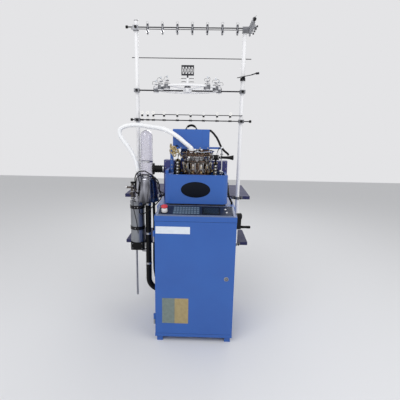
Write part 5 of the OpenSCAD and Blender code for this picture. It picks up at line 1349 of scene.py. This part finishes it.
@dataclass
class SuctionColumn(SubAssembly):
    """The lint collector, filter and hoses at the left."""

    hose_radius: float = 0.016
    hose_left: float = -0.6008
    hose_route: tuple[Point, ...] = (
        (-0.040, 0.002, 1.3723), (-0.040, 0.002, 1.381), (-0.048, 0.000, 1.394), (-0.066, -0.004, 1.410),
        (-0.092, -0.008, 1.430), (-0.126, -0.008, 1.459), (-0.172, -0.005, 1.490), (-0.230, 0.020, 1.517),
        (-0.294, 0.058, 1.532), (-0.365, 0.094, 1.541), (-0.421, 0.118, 1.549), (-0.478, 0.138, 1.551),
        (-0.534, 0.152, 1.546), (-0.579, 0.156, 1.532), (-0.602, 0.156, 1.507), (-0.600, 0.154, 1.476),
        (-0.568, 0.149, 1.430), (-0.527, 0.141, 1.375), (-0.490, 0.132, 1.316), (-0.469, 0.122, 1.258),
        (-0.459, 0.118, 1.2083), (-0.454, 0.118, 1.1883))
    can: Point = (-0.398, 0.170, 0.962)
    filter_at: Point = (-0.480, 0.190, 0.618)
    valve_at: Point = (-0.496, 0.090, 0.962)
    strap_zs: tuple[float, ...] = (0.728, 0.902)
    wears: dict[str, Finish] = field(default_factory=lambda: {
        "collector_can": STAINLESS, "clear_tube": ACRYLIC, "side_hose": RUBBER, "filter_cylinder": FILTER,
        "filter_straps": BLACK_PAINT, "valve_box": BLACK_PLASTIC, "drain_pipe": ZINC,
        "suction_pipe": BLACK_PLASTIC, "air_valve": DARK_STEEL, "valve_knob": BLACK_PLASTIC,
        "black_cables": RUBBER})

    def build(self) -> None:
        """Lays the white hose and puts the bands, latches and fittings on the column."""
        self.lay_hose()
        self.band_can()
        self.band_hoses()
        self.band_filter()
        self.cover_valve_box()
        self.fit_valve()

    def band_can(self) -> None:
        """Puts the rolled edge, the clamps, the toggle latches and the seam on the collector."""
        x, y, z = self.can
        edge = [(0.0935, 0.0), (0.0965, 0.001), (0.0972, 0.004), (0.0960, 0.007), (0.0935, 0.008)]
        Bench.finish("can_edge", Bench.turned(edge, facing((x, y, z)), 48, True), STAINLESS)
        for name, low, radius in (("tube_clamp", 1.160, 0.0525), ("tube_collar", 1.2705, 0.0505)):
            band = Bench.band(radius - 0.0012, radius + 0.0006, 0.009, facing((x, y, low)), 40)
            Bench.finish(name, band, CHROME)
            worm = Bench.block((radius, -0.008, -0.001), (radius + 0.008, 0.008, 0.010), 0.0016)
            worm.data.transform(Matrix.Translation((x, y, low)) @ turned_about(-70))
            Bench.finish(f"{name}_worm", worm, STEEL)
        hasp = Bench.block((0.088, -0.009, 0.012), (0.0945, 0.009, 0.052), 0.001)
        lever = Bench.block((0.0935, -0.006, 0.018), (0.0985, 0.006, 0.046), 0.0014)
        places = [Matrix.Translation(self.can) @ turned_about(a) for a in (-128, -8, 112)]
        Bench.repeat("can_latches", Bench.joined(hasp, lever), places, STEEL)
        seam = Bench.wire([(0.0948, 0.0, 0.009), (0.0908, 0.0, 0.060), (0.0806, 0.0, 0.150)], 0.0011)
        seam.data.transform(Matrix.Translation(self.can) @ turned_about(-48))
        Bench.finish("can_seam", seam, STAINLESS)

    def band_hoses(self) -> None:
        """Clamps the side hose and puts a cuff on each end of the white hose."""
        for k, x in enumerate((-0.3445, -0.2705), 1):
            band = Bench.band(0.0268, 0.0308, 0.008, facing((x, self.can[1], 1.2184), Way.RIGHT), 32)
            Bench.finish(f"side_hose_band_{k}", band, STEEL)
        profile = [(0.0162, 0), (0.0186, 0), (0.0186, 0.012), (0.0176, 0.014), (0.0162, 0.014)]
        for end, first, next_one in (("can", -1, -3), ("cap", 0, 2)):
            at = Vector(self.hose_route[first])
            away = Vector(self.hose_route[next_one]) - at
            cuff = Bench.turned(profile, facing(at + away.normalized() * 0.006, away), 28, True)
            Bench.finish(f"hose_cuff_{end}", cuff, WHITE_PLASTIC)

    def band_filter(self) -> None:
        """Closes the straps with bolts and puts the beads and the seam on the filter."""
        x, y, low = self.filter_at
        for k, z in enumerate(self.strap_zs, 1):
            ears = [
                Bench.block((x + dx, y - 0.0690, z), (x + dx + 0.005, y - 0.0570, z + 0.014), 0.0012)
                for dx in (-0.009, 0.004)]
            Bench.finish(f"strap_ears_{k}", ears, BLACK_PAINT)
            seats = [facing((x + side * 0.009, y - 0.0635, z + 0.007), outward(side)) for side in (1, -1)]
            Fastener(0.0048, 0.004, HeadStyle.HEX).fit(f"strap_bolt_{k}", seats)
        profile = [(0.0566, 0), (0.0586, 0.001), (0.0586, 0.005), (0.0566, 0.006)]
        for name, z in (("low", low + 0.012), ("high", low + 0.319)):
            Bench.finish(f"filter_bead_{name}", Bench.turned(profile, facing((x, y, z)), 48, True), FILTER)
        corners = (x - 0.003, y - 0.0584, low + 0.020), (x + 0.003, y - 0.0565, low + 0.318)
        seam = Bench.block(*corners, 0.0008, 1)
        axis = Matrix.Translation((x, y, 0))
        seam.data.transform(axis @ turned_about(38) @ Matrix.Translation((-x, -y, 0)))
        Bench.finish("filter_seam", seam, FILTER)

    def cover_valve_box(self) -> None:
        """Covers the valve box, and puts a nut on its drain and clips on the suction pipe."""
        x, y, _ = self.filter_at
        lo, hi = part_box("valve_box")
        face, inset, rim = lo.y - 0.0022, 0.010, 0.017
        corners = (lo.x + inset, face, lo.z + inset), (hi.x - inset, lo.y + 0.001, hi.z - inset)
        Bench.finish("valve_box_cover", Bench.block(*corners, 0.0016), BLACK_PLASTIC)
        seats = grid(Way.FRONT, (lo.x + rim, hi.x - rim), (face,), (lo.z + rim, hi.z - rim))
        Fastener(0.0032, 0.0022, HeadStyle.DOME).fit("valve_box_screws", seats)
        drain = facing((x - 0.014, y, lo.z), Way.DOWN)
        Fastener(0.013, 0.012, HeadStyle.HEX).fit("drain_nut", [drain], BRASS)
        clip = Bench.band(0.0232, 0.0250, 0.016, Matrix(), 32)
        Bench.repeat("pipe_clips", clip, grid(Way.UP, (-0.390,), (0.170,), (0.42, 0.68, 0.925)), STEEL)

    def fit_valve(self) -> None:
        """Puts nuts, bands and screws on the air valve and leads its line off."""
        x, y, z = self.valve_at
        ends = [facing((x, y, z + 0.030), Way.DOWN), facing((x - 0.0435, y, z + 0.118), Way.LEFT)]
        Fastener(0.0115, 0.008, HeadStyle.HEX).fit("air_valve_nuts", ends, STEEL)
        band = Bench.band(0.0148, 0.0165, 0.008, Matrix(), 28)
        places = grid(Way.UP, (x,), (y,), (z + 0.036, z + 0.084, z + 0.126))
        Bench.repeat("air_valve_bands", band, places, STEEL)
        seats = grid(Way.FRONT, (x + 0.008,), (y - 0.014,), (z + 0.098, z + 0.104))
        Fastener(0.004, 0.0035).fit("air_valve_screws", seats, STEEL)
        route = [
            (x, y, z + 0.022), (x, y, z - 0.01), (x + 0.004, y + 0.006, z - 0.06), (x + 0.02, y + 0.02, 0.80),
            (x + 0.03, 0.118, 0.70)]
        Bench.finish("air_valve_line", Bench.wire(route, 0.003, 8, 5), RUBBER)

    def lay_hose(self) -> None:
        """Lays the milky hose from the nozzle on the dial cap to the collector's inlet."""
        run = [Vector((max(at.x, self.hose_left), at.y, at.z)) for at in eased(self.hose_route, 4)]
        hose = Bench.line("suction_hose", run, self.hose_radius, 24)
        Bench.finish("suction_hose", hose, HOSE)
        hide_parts("white_hose")


@dataclass
class Creel(SubAssembly):
    """The yarn creel and the shelves behind."""

    left_x: float = -0.480
    right_x: float = 0.335
    shelf_zs: tuple[float, ...] = (0.990, 0.588)
    rod_y: float = 0.244
    top_z: float = 2.262
    rack_z: float = 1.594
    side_x: float = 0.363
    side_z: float = 2.244
    ring: Point = (-0.088, 0.244, 1.815)
    rack_xs: tuple[float, ...] = (-0.441, -0.397, -0.353, -0.269, -0.165, -0.061, 0.040, 0.146, 0.248)
    wears: dict[str, Finish] = field(default_factory=lambda: {
        "creel_posts": WHITE_PAINT, "post_clamps": DIE_CAST, "shelves": SHELF, "creel_rods": BLACKED,
        "tensioner_set": DIE_CAST, "yarn_ring": WHITE_PAINT, "creel_guides": BLACKED, "eyelet_set": CERAMIC})

    def build(self) -> None:
        """Fits the small yarn hardware, the caps, the clamps' knobs and the screws of the shelves."""
        self.grip_eyelets()
        self.set_discs()
        self.set_ring_stops()
        self.wire_ring_stops()
        self.clasp_ring_stops()
        self.fit_ring_hub()
        self.cap_posts()
        self.bolt_clamps()

    @property
    def tensioners(self) -> list[Matrix]:
        """Places of the tensioners on the top rod and on the side rod, each facing its yarn."""
        top = [Matrix.Translation((-0.390 + 0.111 * k, self.rod_y, self.top_z)) for k in range(7)]
        side = [Matrix.Translation((self.side_x, 0.198 - 0.056 * k, self.side_z)) for k in range(4)]
        return top + [place @ turned_about(90) for place in side]

    @property
    def stops(self) -> list[Matrix]:
        """Places of the stop motions round the yarn ring."""
        middle = Matrix.Translation(self.ring)
        out = Matrix.Translation((0.243, 0, 0))
        return [middle @ turned_about(a) @ out for a in (178, 220, 236, 308, 330, 2)]

    def grip_eyelets(self) -> None:
        """Grips the ceramic eyes on the rack with dark collars and thumb screws."""
        y, z = self.rod_y, self.rack_z
        places = grid(Way.UP, self.rack_xs, (y,), (z,))
        eyes = grid(Way.REAR, self.rack_xs, (y,), (z + 0.054,))
        collar = [(0.0110, -0.0062), (0.0132, -0.0052), (0.0132, 0.0052), (0.0110, 0.0062)]
        Bench.repeat("eyelet_collars", Bench.turned(collar, Matrix(), 24, True), places, BLACKED)
        seats = grid(Way.FRONT, self.rack_xs, (y - 0.0125,), (z,))
        Fastener(0.0055, 0.009, HeadStyle.KNURLED).fit("eyelet_thumb_screws", seats, BLACKED)
        ring = [(0.0098, -0.0025), (0.0122, -0.0018), (0.0122, 0.0018), (0.0098, 0.0025)]
        Bench.repeat("eyelet_rings", Bench.turned(ring, Matrix(), 24, True), eyes, CERAMIC)
        lip = [
            (0.0034, -0.0078), (0.0135, -0.0078), (0.0145, -0.0068), (0.0145, -0.0056), (0.0135, -0.0050),
            (0.0049, -0.0050), (0.0049, 0.0040), (0.0034, 0.0040)]
        Bench.repeat("eyelet_bushes", Bench.turned(lip, Matrix(), 24, True), eyes, CERAMIC)
        stem = [(0.0042, 0), (0.0085, 0.001), (0.0085, 0.013), (0.0042, 0.014)]
        stems = grid(Way.UP, self.rack_xs, (y,), (z + 0.026,))
        Bench.repeat("eyelet_stems", Bench.turned(stem, Matrix(), 16, True), stems, BLACKED)

    def set_discs(self) -> None:
        """Gives each tensioner its two discs, spring and knob, its eye and a wire guide."""
        places, z = self.tensioners, -0.031
        disc = [(0, 0), (0.0105, 0.0), (0.0125, 0.0014), (0.0125, 0.0019), (0.0103, 0.0006), (0, 0.0006)]
        near = Bench.turned(disc, facing((0, -0.0125, z), Way.FRONT))
        far = Bench.turned(disc, facing((0, -0.0150, z), Way.REAR))
        stud = Bench.rod((0, -0.004, z), (0, -0.027, z), 0.0016, 0.0004, 12)
        Bench.repeat("tension_discs", Bench.joined(near, far, stud), places, CHROME)
        wound = [(x, -0.0155 - out, up) for x, up, out in coil((0, z, 0), 0.0035, 0.0014, 5)]
        spring = Bench.wire(wound, 0.0005, 8, 1)
        Bench.repeat("tension_springs", spring, places, STEEL)
        knobs = [place @ facing((0, -0.023, z), Way.FRONT) for place in places]
        Fastener(0.0065, 0.007, HeadStyle.KNURLED).fit("tension_knobs", knobs, BLACKED)
        eye = [(0.0026, 0), (0.0048, 0.0004), (0.0052, 0.0016), (0.0048, 0.0028), (0.0026, 0.0032)]
        Bench.repeat("tension_eyes", Bench.turned(eye, facing((0, 0, -0.0515)), 16, True), places, CERAMIC)
        bend = [
            (0.004, 0.0, 0.022), (0.010, -0.008, 0.030), (0.0, -0.018, 0.034), (-0.010, -0.008, 0.030),
            (-0.004, 0.0, 0.022)]
        Bench.repeat("tension_guides", Bench.wire(bend, 0.0009, 8, 5), places, STEEL)
        seats = [place @ facing((0, -0.0085, 0.0145), Way.FRONT) for place in places]
        Fastener(0.0038, 0.004).fit("tension_screws", seats, BLACKED)

    def set_ring_stops(self) -> None:
        """Sets a stop motion on each post of the ring: its cap, its lamp and its two discs."""
        places = self.stops
        cap = [
            (0.0, 0.0225), (0.0190, 0.0225), (0.0205, 0.0245), (0.0205, 0.0280), (0.0185, 0.030), (0, 0.030)]
        Bench.repeat("stop_caps", Bench.turned(cap, Matrix(), 28), places, STEEL)
        lamp = [(0, 0.065), (0.0052, 0.065), (0.0052, 0.074), (0.0036, 0.0775), (0, 0.0785)]
        Bench.repeat("stop_lamps", Bench.turned(lamp, Matrix(), 18), places, AIR_CLEAR)
        disc = [(0.003, 0), (0.0145, 0.0005), (0.0165, 0.0025), (0.0145, 0.0015), (0.003, 0.001)]
        discs = [Bench.turned(disc, facing((0, 0, z)), 24, True) for z in (0.040, 0.0435)]
        Bench.repeat("stop_discs", Bench.joined(*discs), places, CHROME)

    def wire_ring_stops(self) -> None:
        """Bends a feeler wire and a guide wire for each stop motion."""
        feeler = [
            (0.0, 0.0, 0.058), (0.012, 0.004, 0.068), (0.024, 0.002, 0.064), (0.030, -0.004, 0.050),
            (0.024, -0.008, 0.044)]
        guide = [(0.0, 0.0, 0.058), (-0.010, -0.010, 0.064), (-0.020, -0.012, 0.058), (-0.024, -0.006, 0.048)]
        for name, bend in (("stop_feelers", feeler), ("stop_guides", guide)):
            Bench.repeat(name, Bench.wire(bend, 0.0011, 8, 5), self.stops, BLACKED)

    def clasp_ring_stops(self) -> None:
        """Holds each stop motion in a ribbed sleeve with its box and two screws."""
        places = self.stops
        ribs = [(0.0204 + 0.0012 * (k % 2), -0.012 + 0.0032 * k) for k in range(11)]
        sleeve = Bench.turned([(0.0196, -0.012), *ribs, (0.0196, 0.020)], Matrix(), 28, True)
        Bench.repeat("stop_sleeves", sleeve, places, DIE_CAST)
        box = Bench.block((-0.011, -0.026, -0.012), (0.011, -0.0185, 0.016), 0.0016)
        Bench.repeat("stop_boxes", box, places, DIE_CAST)
        seats = [place @ facing((dx, 0, 0.030)) for place in places for dx in (-0.013, 0.013)]
        Fastener(0.0034, 0.003).fit("stop_screws", seats, BLACKED)

    def fit_ring_hub(self) -> None:
        """Fits the ring's hub with its bolts, and its arms with an eye on each."""
        x, y, z = self.ring
        rim = [(0.012, 0.017), (0.026, 0.017), (0.026, 0.026), (0.019, 0.030), (0.019, 0.044), (0.012, 0.047)]
        Bench.finish("ring_hub", Bench.turned(rim, facing((x, y, z)), 32, True), DIE_CAST)
        profile = [(0.003, 0), (0.0062, 0.0006), (0.0068, 0.0022), (0.0062, 0.0038), (0.003, 0.0044)]
        arms, eyes = [], []
        for side, level in product((-1, 1), (z + 0.062, z + 0.086)):
            bend = [
                (x, y, level), (x + side * 0.022, y - 0.006, level + 0.004),
                (x + side * 0.050, y - 0.012, level + 0.002)]
            arms.append(Bench.wire(bend, 0.0022, 8, 5))
            eyes.append(Bench.turned(profile, facing((x + side * 0.054, y - 0.012, level)), 18, True))
        Bench.finish("ring_arms", arms, BLACKED)
        Bench.finish("ring_eyes", eyes, CERAMIC)
        turns = [k * math.pi / 3 for k in range(6)]
        seats = [facing((x + 0.0195 * math.cos(a), y + 0.0195 * math.sin(a), z + 0.0295)) for a in turns]
        Fastener(0.0045, 0.0045).fit("ring_bolts", seats, BLACKED)

    def cap_posts(self) -> None:
        """Caps the posts and the ends of the rods."""
        profile = [(0, 0.0), (0.0154, 0.0), (0.0154, 0.004), (0.0135, 0.0062), (0, 0.0066)]
        places = [facing((self.left_x, 0.268, 2.3105)), facing((self.right_x, 0.268, 2.2595))]
        Bench.repeat("post_caps", Bench.turned(profile, Matrix(), 28), places, BLACK_PLASTIC)
        profile = [
            (0, -0.008), (0.0092, -0.008), (0.0105, -0.006), (0.0105, 0.006), (0.0085, 0.009), (0, 0.009)]
        rods = ((-0.546, self.top_z), (0.407, self.top_z), (-0.524, self.rack_z), (0.405, self.rack_z))
        ends = [facing((x, self.rod_y, z), Way.RIGHT) for x, z in rods]
        ends.append(facing((self.side_x, -0.012, self.side_z), Way.REAR))
        Bench.repeat("rod_knobs", Bench.turned(profile, Matrix()), ends, BLACK_PLASTIC)

    def bolt_clamps(self) -> None:
        """Puts a black thumb screw on each clamp, and bolts and screws the shelves on."""
        face, ring_z = self.rod_y - 0.0105, self.ring[2]
        seats = grid(Way.FRONT, (self.left_x,), (face,), (self.top_z, ring_z, self.rack_z))
        seats += grid(Way.FRONT, (self.right_x,), (face,), (ring_z, self.rack_z))
        Fastener(0.0095, 0.010, HeadStyle.KNURLED).fit("clamp_thumb_screws", seats, BLACK_PLASTIC)
        xs = [x + dx for x in (self.left_x, self.right_x) for dx in (-0.026, 0.026)]
        bolts = grid(Way.FRONT, xs, (0.2475,), [z - 0.013 for z in self.shelf_zs])
        Fastener(0.0075, 0.006, HeadStyle.HEX).fit("saddle_bolts", bolts, BLACKED)
        rows = [0.30 + 0.09 * k for k in range(3)]
        screws = [facing((x, y, z + 0.0002)) for x in (-0.19, 0.19) for z in self.shelf_zs for y in rows]
        Fastener(0.0062, 0.003, HeadStyle.DOME).fit("shelf_screws", screws)


@dataclass
class Studio:
    """The plain pale floor, the soft light and the camera of the photograph."""

    eye: Point = (0.025, -2.340, 1.509)
    pitch: float = 12.05
    yaw: float = -1.06
    roll: float = 1.02
    lens: float = 28.8
    shift: float = 0.015
    far: float = 60.0
    aim: Point = (0.0, 0.1, 0.9)
    floor: str = "#dedfe2"
    paper: str = "#e4e4e6"
    air: float = 0.62

    def build(self) -> None:
        """Sets up the studio."""
        self.lay_floor()
        self.hang_lamps()
        self.fill_air()
        self.set_camera()

    def lay_floor(self) -> None:
        """Lays a pale matt floor."""
        bpy.ops.object.select_all(action="DESELECT")
        bpy.ops.mesh.primitive_plane_add(size=14.0, location=(0.0, 1.0, 0.0))
        floor = bpy.context.object
        floor.name = "studio_floor"
        floor.data.materials.append(Finish("matt_floor_paper", self.floor, 0.8).material())

    def hang_lamps(self) -> None:
        """Hangs the soft lamps."""
        bpy.context.scene.view_settings.view_transform = "Standard"
        lamps = (
            ("key_lamp", (-1.6, -2.6, 3.6), 62.0, 2.6), ("fill_lamp", (2.6, -1.8, 2.4), 30.0, 2.4),
            ("rear_lamp", (0.4, 3.0, 3.4), 34.0, 2.2))
        for name, at, watts, size in lamps:
            bpy.ops.object.light_add(type="AREA", location=at)
            lamp = bpy.context.object
            lamp.name = name
            lamp.data.energy, lamp.data.size = watts, size
            lamp.rotation_euler = (Vector(self.aim) - Vector(at)).to_track_quat("-Z", "Y").to_euler()

    def fill_air(self) -> None:
        """Lights the world evenly, and shows pale paper where it is seen, mirrored or looked through to."""
        world = bpy.data.worlds.new("studio_air")
        bpy.context.scene.world = world
        world.use_nodes = True
        tree = world.node_tree
        tree.nodes.clear()
        rays = put(tree, "ShaderNodeLightPath").outputs
        pair = {0: rays["Is Camera Ray"], 1: rays["Is Transmission Ray"]}
        seen = put(tree, "ShaderNodeMath", pair, operation="MAXIMUM").outputs[0]
        pair = {0: seen, 1: rays["Is Glossy Ray"]}
        seen = put(tree, "ShaderNodeMath", pair, operation="MAXIMUM").outputs[0]
        air = put(tree, "ShaderNodeBackground", {"Color": (1, 1, 1, 1), "Strength": self.air}).outputs[0]
        paper = put(tree, "ShaderNodeBackground", {"Color": linear(self.paper), "Strength": 1.0}).outputs[0]
        both = put(tree, "ShaderNodeMixShader", {0: seen, 1: air, 2: paper})
        put(tree, "ShaderNodeOutputWorld", {"Surface": both.outputs[0]})

    def set_camera(self) -> None:
        """Sets the camera where the photograph was taken from."""
        pitch, yaw, roll = (math.radians(a) for a in (self.pitch, self.yaw, self.roll))
        ahead = Vector((math.sin(yaw) * math.cos(pitch), math.cos(yaw) * math.cos(pitch), -math.sin(pitch)))
        right = Vector((math.cos(yaw), -math.sin(yaw), 0.0))
        over = right.cross(ahead)
        side = math.cos(roll) * right + math.sin(roll) * over
        rise = -math.sin(roll) * right + math.cos(roll) * over
        bpy.ops.object.camera_add(location=self.eye)
        camera = bpy.context.object
        rows = [(side[i], rise[i], -ahead[i], self.eye[i]) for i in range(3)]
        camera.matrix_world = Matrix((*rows, (0, 0, 0, 1)))
        camera.data.lens, camera.data.shift_x, camera.data.clip_end = self.lens, self.shift, self.far
        bpy.context.scene.camera = camera


def main() -> None:
    """Builds the sub-assemblies in order."""
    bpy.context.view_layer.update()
    for part in (Cabinet(), Console(), Drive(), Head(), SuctionColumn(), Creel()):
        part.make()
        log.info("%s is dressed", type(part).__name__)
    Studio().build()


if __name__ == "__main__":
    main()
